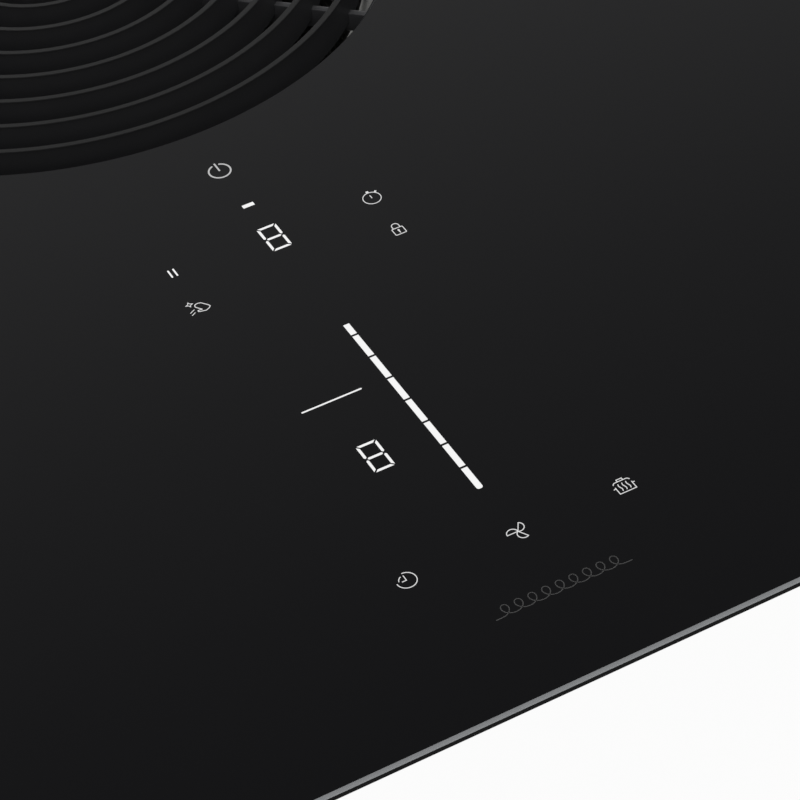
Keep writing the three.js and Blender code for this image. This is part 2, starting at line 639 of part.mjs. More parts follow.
function clampScrew(side, end) {
  const ledgeTop = PAN.ledgeZ + SHEET;
  const { x, y, screwR, headR, nut, z0, armZ } = CLAMP;
  return turned([
    [0, z0], [screwR, z0], [screwR, armZ - FIT - nut], [headR, armZ - FIT - nut], [headR, armZ - FIT],
    [screwR, armZ - FIT], [screwR, ledgeTop], [headR, ledgeTop], [headR, ledgeTop + 3.4], [0, ledgeTop + 3.4],
  ], 8, side * x, end * y);
}

// A strip with an upturned toe, parked along the pan and swung out under the worktop.
function clampArm(side, end) {
  const { x, y, screwR, armZ } = CLAMP;
  const { reach, width, thick, toe: toeHeight } = CLAMP_ARM;
  const half = width / 2;
  const inwardY = -end;
  const far = reach - half;
  const strip = block(-half, half, Math.min(0, inwardY * far), Math.max(0, inwardY * far), 0, thick);
  const round = disc(half, 0, thick, 0, 0, 16);
  const toe = block(-half, half, Math.min(inwardY * (far - thick), inwardY * far),
    Math.max(inwardY * (far - thick), inwardY * far), 0, thick + toeHeight);
  return joined([strip, round, toe]).subtract(disc(screwR + FIT, -1, thick + 1, 0, 0, 8))
    .translate([side * x, end * y, armZ]);
}

function hangerStrap([x, y], end) {
  const { width, thick } = STRAP;
  const [y0, y1] = end > 0 ? [y, y + thick] : [y - thick, y];
  const foot = end > 0 ? [y - 14, y + thick] : [y - thick, y + 14];
  return joined([
    block(x - width / 2, x + width / 2, y0, y1, LID_TOP, PAN.floorZ),
    block(x - width / 2, x + width / 2, foot[0], foot[1], LID_TOP, LID_TOP + thick),
    block(x - width / 2, x + width / 2, foot[0], foot[1], PAN.floorZ - thick, PAN.floorZ),
  ]);
}

function rubberBuffer(x, y) {
  return turned([
    [0, FAN.topZ], [BUFFER.r, FAN.topZ], [BUFFER.waist, (FAN.topZ + PAN.floorZ) / 2],
    [BUFFER.r, PAN.floorZ], [0, PAN.floorZ],
  ], 14, x, y);
}

// ---- Assembly ----

const SIDES = [["left", -1], ["right", 1]];
const ENDS = [["front", -1], ["back", 1]];

add("glass_top", glassTop(), MATERIAL.glass);
add("glass_seal", glassSeal(), MATERIAL.seal);
add("base_pan", basePan(), MATERIAL.zinc);
for (const [side, sx] of SIDES) {
  add(`coil_tray_${side}`, coilTray(sx), MATERIAL.aluminium);
  add(`electronics_holder_${side}`, electronicsHolder(sx), MATERIAL.black);
  add(`inverter_board_${side}`, inverterBoard(sx), MATERIAL.board);
  add(`heat_sink_${side}`, heatSink(sx), MATERIAL.aluminium);
  add(`cooling_fan_frame_${side}`, coolerFrame(sx), MATERIAL.black);
  add(`cooling_fan_rotor_${side}`, coolerRotor(sx), MATERIAL.black);
  for (const [end, ey] of ENDS) {
    add(`induction_coil_${end}_${side}`, inductionCoil(sx, ey), MATERIAL.copper);
    add(`clamp_screw_${end}_${side}`, clampScrew(sx, ey), MATERIAL.steel);
    add(`clamp_arm_${end}_${side}`, clampArm(sx, ey), MATERIAL.zinc);
  }
}
add("control_holder", controlHolder(), MATERIAL.black);
add("control_board", controlBoard(), MATERIAL.board);
add("light_guide", lightGuide(), MATERIAL.black);
add("inlet_well", inletWell(), MATERIAL.black);
add("well_seal", wellSeal(), MATERIAL.seal);
add("vent_grille", ventGrille(), MATERIAL.cast);
add("filter_floor", filterFloor(), MATERIAL.steel);
add("filter_basket", filterBasket(), MATERIAL.steel);
add("filter_rim", filterRim(), MATERIAL.steel);
add("filter_mesh", filterMesh(), MATERIAL.steel);
add("drip_tray_floor", trayFloor(), MATERIAL.grey);
add("drip_tray_wall", trayWall(), MATERIAL.grey);
add("plenum_base", plenumBase(), MATERIAL.black);
add("plenum_lid", plenumLid(), MATERIAL.black);
add("fan_inlet_ring", inletRing(), MATERIAL.grey);
add("scroll_housing", scrollHousing(), MATERIAL.black);
add("impeller", impeller(), MATERIAL.grey);
add("wheel_shaft", wheelShaft(), MATERIAL.steel);
add("fan_motor", fanMotor(), MATERIAL.steel);
add("outlet_adapter", outletAdapter(), MATERIAL.black);
add("outlet_flap", outletFlap(), MATERIAL.grey);
add("spigot_seal", spigotSeal(), MATERIAL.rubber);
add("terminal_box", terminalBox(), MATERIAL.black);
add("terminal_cover", terminalCover(), MATERIAL.black);
add("cable_gland", cableGland(), MATERIAL.grey);
for (const [end, ey] of ENDS) add(`hanger_strap_${end}`, hangerStrap(STRAP[end], ey), MATERIAL.zinc);
BUFFER.places.forEach(([x, y], i) => {
  add(`rubber_buffer_${i + 1}`, rubberBuffer(x, y), MATERIAL.rubber);
});

export default cooktop;
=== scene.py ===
"""Dresses a packed downdraft induction cooktop: ceramic glass with lit touch controls, a ring grille over a filter
well, and the sheet-metal pan and moulded fan unit that hang below. Lengths are in millimetres until a mesh is made."""

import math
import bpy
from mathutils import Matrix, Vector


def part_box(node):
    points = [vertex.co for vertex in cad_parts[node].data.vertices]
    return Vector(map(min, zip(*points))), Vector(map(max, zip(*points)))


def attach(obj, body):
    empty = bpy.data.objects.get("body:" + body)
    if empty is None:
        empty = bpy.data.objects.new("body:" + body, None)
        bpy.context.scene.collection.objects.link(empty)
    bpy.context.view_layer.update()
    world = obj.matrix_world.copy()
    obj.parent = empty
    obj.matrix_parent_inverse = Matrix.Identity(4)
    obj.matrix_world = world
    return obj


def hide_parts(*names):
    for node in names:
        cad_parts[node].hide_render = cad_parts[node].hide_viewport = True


bl_info = {
    "name": "Downdraft Induction Cooktop",
    "version": (1, 0, 0),
    "blender": (4, 5, 0),
    "location": "3D View > Sidebar > Cooktop",
    "description": "Models and finishes an induction cooktop with a round extractor intake",
    "category": "Object",
}

from types import SimpleNamespace

import bmesh
import bpy
from bpy.props import FloatProperty, FloatVectorProperty, IntProperty, PointerProperty
from mathutils import Color, Matrix, Vector

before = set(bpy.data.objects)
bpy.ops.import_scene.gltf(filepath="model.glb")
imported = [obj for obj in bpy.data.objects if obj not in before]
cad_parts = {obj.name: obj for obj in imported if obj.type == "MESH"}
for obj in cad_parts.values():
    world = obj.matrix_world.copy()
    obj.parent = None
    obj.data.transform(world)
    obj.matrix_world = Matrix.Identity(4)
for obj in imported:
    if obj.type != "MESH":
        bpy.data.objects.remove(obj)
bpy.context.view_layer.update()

MM = 0.001
ROOT = "hob"


def millimetres(node_name):
    """Lowest and highest corner of a CAD node, in millimetres."""
    low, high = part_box(node_name)
    return Vector(low) / MM, Vector(high) / MM


def middle(node_name):
    """The middle of a CAD node in plan, at height 0, in millimetres."""
    low, high = millimetres(node_name)
    return Vector(((low.x + high.x) / 2, (low.y + high.y) / 2, 0))


GLASS_LOW, GLASS_HIGH = millimetres("glass_top")
GRILLE_LOW, GRILLE_HIGH = millimetres("vent_grille")
WELL_LOW, WELL_HIGH = millimetres("inlet_well")
BASKET_LOW = millimetres("filter_floor")[0]
BASKET_HIGH = millimetres("filter_rim")[1]
MESH_LOW, MESH_HIGH = millimetres("filter_mesh")
TRAY_LOW = millimetres("drip_tray_floor")[0]
TRAY_HIGH = millimetres("drip_tray_wall")[1]
PAN_LOW, PAN_HIGH = millimetres("base_pan")
PLENUM_LOW, PLENUM_HIGH = millimetres("plenum_base")

# The marks lie in a shallow skin at the very top of the glass, so they add nothing to its height.
GLASS_Z = GLASS_HIGH.z - 0.05
MARK_THICK = 0.04


# ---- Settings ----


def linear(colour):
    """An sRGB hex colour as linear red, green, blue and alpha."""
    srgb = Color([int(colour[i : i + 2], 16) / 255 for i in (1, 3, 5)])
    return (*srgb.from_srgb_to_scene_linear(), 1.0)


# What all lengths and all colours of the settings have in common.
LENGTH = {"unit": "LENGTH", "min": 0.00001, "precision": 5}
COLOUR = {"subtype": "COLOR", "size": 4, "min": 0.0, "max": 1.0}


class GlassSettings(bpy.types.PropertyGroup):
    corner: FloatProperty(name="Corner", description="Radius of the plate's corners", default=5 * MM, **LENGTH)
    arris: FloatProperty(name="Arris", description="Width of the ground edge", default=0.7 * MM, **LENGTH)
    arris_drop: FloatProperty(name="Drop", description="Height of the ground edge", default=0.48 * MM, **LENGTH)
    land: FloatProperty(name="Land", description="Height of the edge's upright part", default=1.05 * MM, **LENGTH)
    undercut: FloatProperty(name="Undercut", description="How far the edge slopes in", default=3.2 * MM, **LENGTH)
    intake: FloatProperty(name="Intake", description="Radius of the intake's hole", default=82.6 * MM, **LENGTH)
    body: FloatVectorProperty(name="Glass", description="Colour of the glass", default=linear("#08080A"), **COLOUR)
    ground: FloatVectorProperty(name="Edge", description="Ground edge's colour", default=linear("#898B8D"), **COLOUR)


class MarkSettings(bpy.types.PropertyGroup):
    step: FloatProperty(name="Slider step", description="From slider gap to slider gap", default=7.329 * MM, **LENGTH)
    line: FloatProperty(name="Line", description="Width of the symbols' lines", default=0.167 * MM, **LENGTH)
    bold: FloatProperty(name="Bold line", description="Width of the power symbol's line", default=0.35 * MM, **LENGTH)
    digit_width: FloatProperty(name="Digit width", description="Width of a digit", default=4.3 * MM, **LENGTH)
    digit_height: FloatProperty(name="Digit height", description="Height of a digit", default=8.05 * MM, **LENGTH)
    lit: FloatVectorProperty(name="Lit", description="Digits and slider", default=linear("#F6F6F6"), **COLOUR)
    symbol: FloatVectorProperty(name="Symbols", description="Key symbols", default=linear("#E0E0E0"), **COLOUR)
    power: FloatVectorProperty(name="Power", description="Power symbol", default=linear("#BEBEBE"), **COLOUR)
    ink: FloatVectorProperty(name="Print", description="Printed marks", default=linear("#474747"), **COLOUR)


class GrilleSettings(bpy.types.PropertyGroup):
    rings: IntProperty(name="Rings", description="Number of rings", default=8, min=1)
    first: FloatProperty(name="Outer ring", description="Outer ring's middle radius", default=74 * MM, **LENGTH)
    pitch: FloatProperty(name="Pitch", description="From ring to ring", default=8.9 * MM, **LENGTH)
    thick: FloatProperty(name="Thickness", description="Thickness of a ring", default=1.45 * MM, **LENGTH)
    depth: FloatProperty(name="Depth", description="Height of a ring", default=8.7 * MM, **LENGTH)
    coat: FloatVectorProperty(name="Coating", description="Powder coat", default=linear("#212122"), **COLOUR)


class UnderSettings(bpy.types.PropertyGroup):
    zinc: FloatVectorProperty(name="Zinc", description="Zinc-coated sheet", default=linear("#9DA1A4"), **COLOUR)
    plastic: FloatVectorProperty(name="Plastic", description="Moulded housings", default=linear("#232426"), **COLOUR)
    grey: FloatVectorProperty(name="Grey plastic", description="Wheel and tray", default=linear("#6B6E71"), **COLOUR)
    edge: FloatProperty(name="Edge radius", description="Rounding of moulded edges", default=0.5 * MM, **LENGTH)
    fold: FloatProperty(name="Fold radius", description="Rounding of bent strips", default=0.4 * MM, **LENGTH)
    screws: IntProperty(name="Pan screws", description="Screws along the pan's long side", default=6, min=2)


class StageSettings(bpy.types.PropertyGroup):
    azimuth: FloatProperty(
        name="Azimuth", description="Camera's bearing", default=math.radians(-23.87), subtype="ANGLE")
    elevation: FloatProperty(
        name="Elevation", description="Camera's height angle", default=math.radians(42.28), subtype="ANGLE")
    roll: FloatProperty(name="Roll", description="Camera's roll", default=math.radians(-6.06), subtype="ANGLE")
    lens: FloatProperty(name="Lens", description="Focal length", default=133.98, min=10.0, unit="CAMERA")
    floor: FloatVectorProperty(name="Floor", description="Colour of the floor", default=linear("#F1F1F0"), **COLOUR)


def sizes_and_colours(group):
    """The properties of a settings group, without those that every group has."""
    return [prop for prop in group.bl_rna.properties if prop.type in {"INT", "FLOAT"}]


def settings(group_name):
    """A group's values, with its lengths in millimetres and its colours as plain tuples."""
    group = getattr(bpy.context.scene.cooktop, group_name)
    values = SimpleNamespace()
    for prop in sizes_and_colours(group):
        value = getattr(group, prop.identifier)
        if prop.is_array:
            value = tuple(value)
        elif prop.unit == "LENGTH":
            value /= MM
        setattr(values, prop.identifier, value)
    return values


# ---- Materials ----


def node(tree, kind, inputs=None, **values):
    """Adds a node with its settings. Each input is a value, or a link written as (node, output)."""
    made = tree.nodes.new(kind)
    for name, value in values.items():
        setattr(made, name, value)
    for key, value in (inputs or {}).items():
        if isinstance(value, tuple) and isinstance(value[0], bpy.types.Node):
            tree.links.new(value[0].outputs[value[1]], made.inputs[key])
        else:
            made.inputs[key].default_value = value
    return made


def material(name, recipe, *values):
    """The material of this name, made on first use. The recipe adds its nodes and returns the shader."""
    made = bpy.data.materials.get(name)
    if made is None:
        made = bpy.data.materials.new(name)
        made.use_nodes = True
        tree = made.node_tree
        tree.nodes.clear()
        place = node(tree, "ShaderNodeTexCoord"), "Object"
        node(tree, "ShaderNodeOutputMaterial", {"Surface": (recipe(tree, place, *values), 0)})
    return made


def shaded(colour, share):
    """A linear colour with its sRGB values scaled: darker for a share below 1, lighter above."""
    srgb = Color(colour[:3]).from_scene_linear_to_srgb() * share
    return (*srgb.from_srgb_to_scene_linear(), 1.0)


def mottled(tree, place, scale_mm, low, high):
    """A number that wanders between low and high over patches about scale_mm across."""
    noise = node(tree, "ShaderNodeTexNoise", {"Vector": place, "Scale": 1 / (scale_mm * MM), "Detail": 2.0})
    return node(tree, "ShaderNodeMapRange", {"Value": (noise, "Fac"), "To Min": low, "To Max": high}), "Result"


def patchy(tree, place, scale_mm, dark, light):
    """A colour that wanders between dark and light over patches about scale_mm across."""
    share = mottled(tree, place, scale_mm, 0.0, 1.0)
    return node(tree, "ShaderNodeMix", {"Factor": share, "A": dark, "B": light}, data_type="RGBA"), "Result"


def ceramic_glass(tree, place):
    """Glass-ceramic, tinted black and fire-polished: a deep black that mirrors its surroundings."""
    waves = node(tree, "ShaderNodeTexNoise", {"Vector": place, "Scale": 1 / (60 * MM), "Detail": 0.0})
    bump = node(tree, "ShaderNodeBump", {"Height": (waves, "Fac"), "Strength": 0.02, "Distance": 0.02 * MM})
    return node(tree, "ShaderNodeBsdfPrincipled", {
        "Base Color": settings("glass").body, "Roughness": mottled(tree, place, 35, 0.015, 0.035), "IOR": 1.5,
        "Normal": (bump, "Normal"),
    })


def ground_glass(tree, place):
    """Edge of the glass after the diamond wheel: satin and grey, with painted light: darker where the arris leaves the
    top, lighter where it turns to the front.
    """
    glass = settings("glass")
    apart = node(tree, "ShaderNodeSeparateXYZ", {"Vector": place})
    # Painted light: the colour runs from darker at the top of the arris to lighter at its foot, as if the front lamp
    # lit the lower facets more.
    fall = node(tree, "ShaderNodeMapRange", {
        "Value": (apart, "Z"), "From Min": (GLASS_Z - glass.arris_drop) * MM, "From Max": GLASS_Z * MM,
        "To Min": 1.0, "To Max": 0.0,
    })
    colour = node(tree, "ShaderNodeMix", {
        "Factor": (fall, "Result"), "A": shaded(glass.ground, 0.85), "B": glass.ground,
    }, data_type="RGBA")
    # Grinding marks of about 0.1 mm run along the edge, drawn as fine grain.
    grain = node(tree, "ShaderNodeTexNoise", {"Vector": place, "Scale": 1 / (0.1 * MM), "Detail": 1.0})
    bump = node(tree, "ShaderNodeBump", {"Height": (grain, "Fac"), "Strength": 0.2, "Distance": 0.02 * MM})
    return node(tree, "ShaderNodeBsdfPrincipled", {
        "Base Color": (colour, "Result"), "Roughness": 0.45, "IOR": 1.5, "Normal": (bump, "Normal"),
    })


def rough_glass(tree, place):
    """Side of the glass under the arris: rough-ground, so the black of the body shows with hardly any gloss."""
    colour = patchy(tree, place, 0.4, linear("#060607"), linear("#0A0A0B"))
    return node(tree, "ShaderNodeBsdfPrincipled", {"Base Color": colour, "Roughness": 0.8, "IOR": 1.25})


def light_through(tree, place, colour):
    """Light of the display seen through the glass: an even glow that needs no lamp."""
    return node(tree, "ShaderNodeBsdfPrincipled", {
        "Base Color": linear("#101010"), "Roughness": 0.3, "Emission Color": colour,
        "Emission Strength": mottled(tree, place, 3, 0.97, 1.0),
    })


def fired_ink(tree, place, colour):
    """Ceramic ink fired into the glass: dull grey with the fine grain of the screen."""
    grain = patchy(tree, place, 0.3, shaded(colour, 0.9), colour)
    return node(tree, "ShaderNodeBsdfPrincipled", {"Base Color": grain, "Roughness": 0.35, "IOR": 1.5})


def powder_coat(tree, place):
    """Steel with a baked powder coat: near black, softly matt, with the coat's orange peel."""
    grille = settings("grille")
    # Painted light and shade: the coat is painted darker along the top edges, which the light from above reaches most,
    # and greyer down the sides towards the bottom, where the rings shade each other.
    apart = node(tree, "ShaderNodeSeparateXYZ", {"Vector": place})
    depth = node(tree, "ShaderNodeMapRange", {
        "Value": (apart, "Z"), "From Min": (GRILLE_HIGH.z - grille.depth) * MM, "From Max": GRILLE_HIGH.z * MM,
    })
    painted_light_ramp = node(tree, "ShaderNodeValToRGB", {"Fac": (depth, "Result")})
    painted_light_ramp.color_ramp.elements.new(0.94)
    for element, share in zip(painted_light_ramp.color_ramp.elements, (2.15, 1.05, 0.45)):
        element.color = shaded(grille.coat, share)
    patch = mottled(tree, place, 12, 0.9, 1.0)
    colour = node(tree, "ShaderNodeVectorMath", {0: (painted_light_ramp, "Color"), 1: patch}, operation="MULTIPLY")
    peel = node(tree, "ShaderNodeTexNoise", {"Vector": place, "Scale": 1 / (0.7 * MM), "Detail": 2.0})
    bump = node(tree, "ShaderNodeBump", {"Height": (peel, "Fac"), "Strength": 0.12, "Distance": 0.03 * MM})
    return node(tree, "ShaderNodeBsdfPrincipled", {
        "Base Color": (colour, 0), "Roughness": mottled(tree, place, 5, 0.3, 0.4), "IOR": 1.45,
        "Normal": (bump, "Normal"),
    })


def moulded(tree, place, colour, grain_mm, roughness):
    """Injection-moulded, glass-filled plastic with a spark-eroded grain."""
    grain = node(tree, "ShaderNodeTexVoronoi", {"Vector": place, "Scale": 1 / (grain_mm * MM)})
    bump = node(tree, "ShaderNodeBump", {"Height": (grain, "Distance"), "Strength": 0.3, "Distance": 0.05 * MM})
    return node(tree, "ShaderNodeBsdfPrincipled", {
        "Base Color": patchy(tree, place, 25, shaded(colour, 0.85), shaded(colour, 1.05)),
        "Roughness": mottled(tree, place, 8, roughness - 0.06, roughness + 0.08), "IOR": 1.48,
        "Normal": (bump, "Normal"),
    })


def black_plastic():
    return material("black_polyamide", moulded, settings("under").plastic, 0.5, 0.5)


def grey_plastic():
    return material("grey_polypropylene", moulded, settings("under").grey, 0.6, 0.45)


def galvanised(tree, place):
    """Hot-dip galvanised sheet: zinc crystals some 6 mm across that catch the light one by one."""
    zinc = settings("under").zinc
    spangle = node(tree, "ShaderNodeTexVoronoi", {"Vector": place, "Scale": 1 / (6 * MM)})
    grey = node(tree, "ShaderNodeSeparateColor", {"Color": (spangle, "Color")})
    tint = node(tree, "ShaderNodeMix", {
        "Factor": (grey, "Red"), "A": shaded(zinc, 0.93), "B": shaded(zinc, 1.03),
    }, data_type="RGBA")
    rough = node(tree, "ShaderNodeMapRange", {"Value": (grey, "Green"), "To Min": 0.36, "To Max": 0.48})
    dust = node(tree, "ShaderNodeTexNoise", {"Vector": place, "Scale": 1 / (1.5 * MM), "Detail": 3.0})
    bump = node(tree, "ShaderNodeBump", {"Height": (dust, "Fac"), "Strength": 0.1, "Distance": 0.04 * MM})
    return node(tree, "ShaderNodeBsdfPrincipled", {
        "Base Color": (tint, "Result"), "Metallic": 0.9, "Roughness": (rough, "Result"), "Normal": (bump, "Normal"),
    })


def brushed(tree, place, colour, along, roughness):
    """Metal brushed in one direction: hair-fine scratches, drawn 0.3 mm apart so that they show."""
    stretch = node(tree, "ShaderNodeMapping", {"Vector": place, "Scale": along})
    lines = node(tree, "ShaderNodeTexNoise", {"Vector": (stretch, "Vector"), "Scale": 1 / (0.3 * MM), "Detail": 3.0})
    rough = node(tree, "ShaderNodeMapRange", {
        "Value": (lines, "Fac"), "To Min": roughness - 0.08, "To Max": roughness + 0.1,
    })
    bump = node(tree, "ShaderNodeBump", {"Height": (lines, "Fac"), "Strength": 0.12, "Distance": 0.03 * MM})
    return node(tree, "ShaderNodeBsdfPrincipled", {
        "Base Color": patchy(tree, place, 30, shaded(colour, 0.93), colour), "Metallic": 1.0,
        "Roughness": (rough, "Result"), "Normal": (bump, "Normal"),
    })


def foam_rubber(tree, place, colour, cell_mm):
    """Closed-cell rubber: dead black with the pores of the foam, their pits painted darker as shade."""
    cells = node(tree, "ShaderNodeTexVoronoi", {"Vector": place, "Scale": 1 / (cell_mm * MM)})
    # Painted shade: the colour is darker in the middle of each pore, just where the bump sinks the pit.
    tint = node(tree, "ShaderNodeMix", {
        "Factor": (cells, "Distance"), "A": shaded(colour, 0.7), "B": colour,
    }, data_type="RGBA")
    bump = node(tree, "ShaderNodeBump", {"Height": (cells, "Distance"), "Strength": 0.5, "Distance": 0.2 * MM})
    return node(tree, "ShaderNodeBsdfPrincipled", {
        "Base Color": (tint, "Result"), "Roughness": 0.85, "Normal": (bump, "Normal"),
    })


def litz_winding(tree, place):
    """Lacquered copper strands wound in a flat spiral, one turn every 3 mm, about each coil's own centre, with painted
    shade in the grooves between the turns.
    """
    # Folding the place about both axes brings the four coils onto one.
    folded = node(tree, "ShaderNodeVectorMath", {0: place}, operation="ABSOLUTE")
    centre = tuple(middle("induction_coil_back_right") * MM)
    moved = node(tree, "ShaderNodeVectorMath", {0: (folded, 0), 1: centre}, operation="SUBTRACT")
    level = node(tree, "ShaderNodeVectorMath", {0: (moved, 0), 1: (1, 1, 0)}, operation="MULTIPLY")
    radius = node(tree, "ShaderNodeVectorMath", {0: (level, 0)}, operation="LENGTH")
    turns = node(tree, "ShaderNodeMath", {0: (radius, "Value"), 1: math.tau / (3 * MM)}, operation="MULTIPLY")
    wave = node(tree, "ShaderNodeMath", {0: (turns, "Value")}, operation="SINE")
    share = node(tree, "ShaderNodeMapRange", {"Value": (wave, "Value"), "From Min": -1.0})
    # Painted shade: the grooves between the turns are painted a dark copper, and the crowns keep the light copper of
    # the wire, following the same wave that the bump raises.
    tint = node(tree, "ShaderNodeMix", {
        "Factor": (share, "Result"), "A": linear("#4A2210"), "B": linear("#B8683C"),
    }, data_type="RGBA")
    bump = node(tree, "ShaderNodeBump", {"Height": (share, "Result"), "Strength": 0.8, "Distance": 0.8 * MM})
    return node(tree, "ShaderNodeBsdfPrincipled", {
        "Base Color": (tint, "Result"), "Metallic": 0.6, "Roughness": 0.4, "Normal": (bump, "Normal"),
    })


def solder_mask(tree, place):
    """Fibre-glass board under green solder mask, with faint copper runs 2.5 mm apart."""
    runs = node(tree, "ShaderNodeTexBrick", {
        "Vector": place, "Scale": 1 / (5 * MM), "Mortar Size": 0.06, "Color1": linear("#1C4A30"),
        "Color2": linear("#1E5235"), "Mortar": linear("#2F6B48"),
    })
    return node(tree, "ShaderNodeBsdfPrincipled", {"Base Color": (runs, "Color"), "Roughness": 0.35})


# ---- Mesh helpers ----


def verts_in(geom):
    return [item for item in geom if isinstance(item, bmesh.types.BMVert)]


def edges_of(verts):
    """The edges that touch these vertices, in a fixed order."""
    return list(dict.fromkeys(edge for vert in verts for edge in vert.link_edges))


def new_piece(name, bm, finishes, body=ROOT, replaces=(), smooth_angle=40):
    """Turns a bmesh in millimetres into a finished object that rides on a body."""
    bmesh.ops.scale(bm, vec=(MM, MM, MM), verts=bm.verts)
    mesh = bpy.data.meshes.new(name)
    bm.to_mesh(mesh)
    bm.free()
    piece = bpy.data.objects.new(name, mesh)
    bpy.context.scene.collection.objects.link(piece)
    for finish in finishes:
        mesh.materials.append(finish)
    if smooth_angle:
        mesh.shade_smooth()
        mesh.set_sharp_from_angle(angle=math.radians(smooth_angle))
    if replaces:
        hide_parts(*replaces)
    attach(piece, body)


def joined_copy(node_name):
    """A CAD node's mesh as a bmesh in millimetres, its loose triangles merged and its flat faces whole."""
    bm = bmesh.new()
    bm.from_mesh(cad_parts[node_name].data)
    bmesh.ops.scale(bm, vec=(1 / MM, 1 / MM, 1 / MM), verts=bm.verts)
    bmesh.ops.remove_doubles(bm, verts=bm.verts, dist=1e-3)
    bmesh.ops.dissolve_limit(bm, angle_limit=math.radians(0.5), verts=bm.verts, edges=bm.edges)
    return bm


def softened(bm, radius, least_angle=30, segments=2):
    """Rounds the edges that turn by more than least_angle degrees."""
    sharp = [e for e in bm.edges if len(e.link_faces) == 2 and e.calc_face_angle(0) > math.radians(least_angle)]
    bmesh.ops.bevel(
        bm, geom=sharp, offset=radius, offset_type="OFFSET", segments=segments, profile=0.5, affect="EDGES",
        clamp_overlap=True, material=-1,
    )
    return bm


def carried(node_name, finish, radius, body=ROOT):
    """A CAD node with its own shape kept, its edges rounded as bending or moulding leaves them."""
    new_piece(node_name + "_piece", softened(joined_copy(node_name), radius), [finish], body, (node_name,))


def repaint(node_name, finish):
    """A CAD node kept as it is, with a new finish."""
    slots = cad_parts[node_name].data.materials
    slots.clear()
    slots.append(finish)


def spun(bm, profile, steps, centre=(0, 0)):
    """Turns a line of (radius, height) points about the upright axis through centre."""
    chain = [bm.verts.new((centre[0] + r, centre[1], z)) for r, z in profile]
    edges = [bm.edges.new(pair) for pair in zip(chain, chain[1:])]
    bmesh.ops.spin(
        bm, geom=chain + edges, cent=(centre[0], centre[1], 0), axis=(0, 0, 1), angle=math.tau, steps=steps,
        use_merge=True,
    )


def block(bm, low, high, turn=Matrix()):
    """A box between two corners, turned afterwards if need be."""
    low, high = Vector(low), Vector(high)
    size = Matrix.Translation((low + high) / 2) @ Matrix.Diagonal((*(high - low), 1))
    bmesh.ops.create_cube(bm, size=1, matrix=turn @ size)


def closed_shape(bm):
    """Merges seams and poles and turns every face outwards."""
    bmesh.ops.remove_doubles(bm, verts=bm.verts, dist=1e-4)
    bmesh.ops.recalc_face_normals(bm, faces=bm.faces)
    return bm


def turned_piece(name, profile, steps, finish, body, replaces):
    """A piece made on the lathe from a closed profile, or one that starts and ends on the axis."""
    bm = bmesh.new()
    ends_on_axis = profile[0][0] == 0 and profile[-1][0] == 0
    spun(bm, profile if ends_on_axis else profile + profile[:1], steps)
    new_piece(name, closed_shape(bm), [finish], body, replaces)


# ---- Glass ----


def drawn_out(bm, edges):
    """Extrudes edges where they are, and returns the new vertices, the new rim's edges and the faces between."""
    made = bmesh.ops.extrude_edge_only(bm, edges=edges)["geom"]
    verts = verts_in(made)
    known = set(verts)
    rim = [item for item in made if isinstance(item, bmesh.types.BMEdge) and all(v in known for v in item.verts)]
    return verts, rim, [item for item in made if isinstance(item, bmesh.types.BMFace)]


def worked_edge(bm, rim, corner_x, corner_y, outward, drop, slot):
    """Draws a strip of faces from the rim, straight out from the rounded rectangle and down. Returns the new rim."""
    verts, rim, faces = drawn_out(bm, rim)
    for vert in verts:
        x, y, z = vert.co
        near = Vector((max(-corner_x, min(corner_x, x)), max(-corner_y, min(corner_y, y)), z))
        vert.co += (vert.co - near).normalized() * outward - Vector((0, 0, drop))
    for face in faces:
        face.material_index = slot
    return rim


def glass_plate():
    """The top face with its round hole, then the edge worked downwards from it in strips."""
    glass = settings("glass")
    half = (GLASS_HIGH - GLASS_LOW) / 2
    corner_x, corner_y = half.x - glass.corner, half.y - glass.corner
    corner = glass.corner - glass.arris
    bm = bmesh.new()
    size = Matrix.Diagonal((corner_x + corner, corner_y + corner, 1, 1))
    bmesh.ops.create_grid(bm, x_segments=1, y_segments=1, size=1, matrix=size)
    bmesh.ops.bevel(bm, geom=list(bm.verts), offset=corner, segments=10, profile=0.5, affect="VERTICES", material=-1)
    bmesh.ops.delete(bm, geom=list(bm.faces), context="FACES_ONLY")
    rim = list(bm.edges)
    broken = 0.15
    hole = edges_of(bmesh.ops.create_circle(bm, radius=glass.intake + broken, segments=192)["verts"])
    bmesh.ops.triangle_fill(bm, use_beauty=True, use_dissolve=False, edges=rim + hole, normal=(0, 0, 1))
    bmesh.ops.translate(bm, vec=(0, 0, GLASS_Z), verts=bm.verts)
    # The ground arris is slightly round: three facets from nearly level to nearly upright.
    turn = [0, 0.36, 0.72, 1.0]
    for before, after in zip(turn, turn[1:]):
        angle_a, angle_b = before * math.pi / 2, after * math.pi / 2
        flat = 0.5 * (after - before) + 0.5 * (math.sin(angle_b) - math.sin(angle_a))
        fall = 0.5 * (after - before) + 0.5 * (math.cos(angle_a) - math.cos(angle_b))
        rim = worked_edge(bm, rim, corner_x, corner_y, glass.arris * flat, glass.arris_drop * fall, 1)
    rim = worked_edge(bm, rim, corner_x, corner_y, 0, glass.land, 2)
    depth = GLASS_Z - GLASS_LOW.z - glass.arris_drop - glass.land
    rim = worked_edge(bm, rim, corner_x, corner_y, -glass.undercut, depth, 2)
    # The hole's edge is only broken, not ground.
    ring, hole, _ = drawn_out(bm, hole)
    share = glass.intake / (glass.intake + broken)
    bmesh.ops.scale(bm, vec=(share, share, 1), verts=ring)
    bmesh.ops.translate(bm, vec=(0, 0, -broken), verts=ring)
    ring, hole, _ = drawn_out(bm, hole)
    for vert in ring:
        vert.co.z = GLASS_LOW.z
    bmesh.ops.triangle_fill(bm, use_beauty=True, use_dissolve=False, edges=rim + hole, normal=(0, 0, -1))
    return closed_shape(bm)


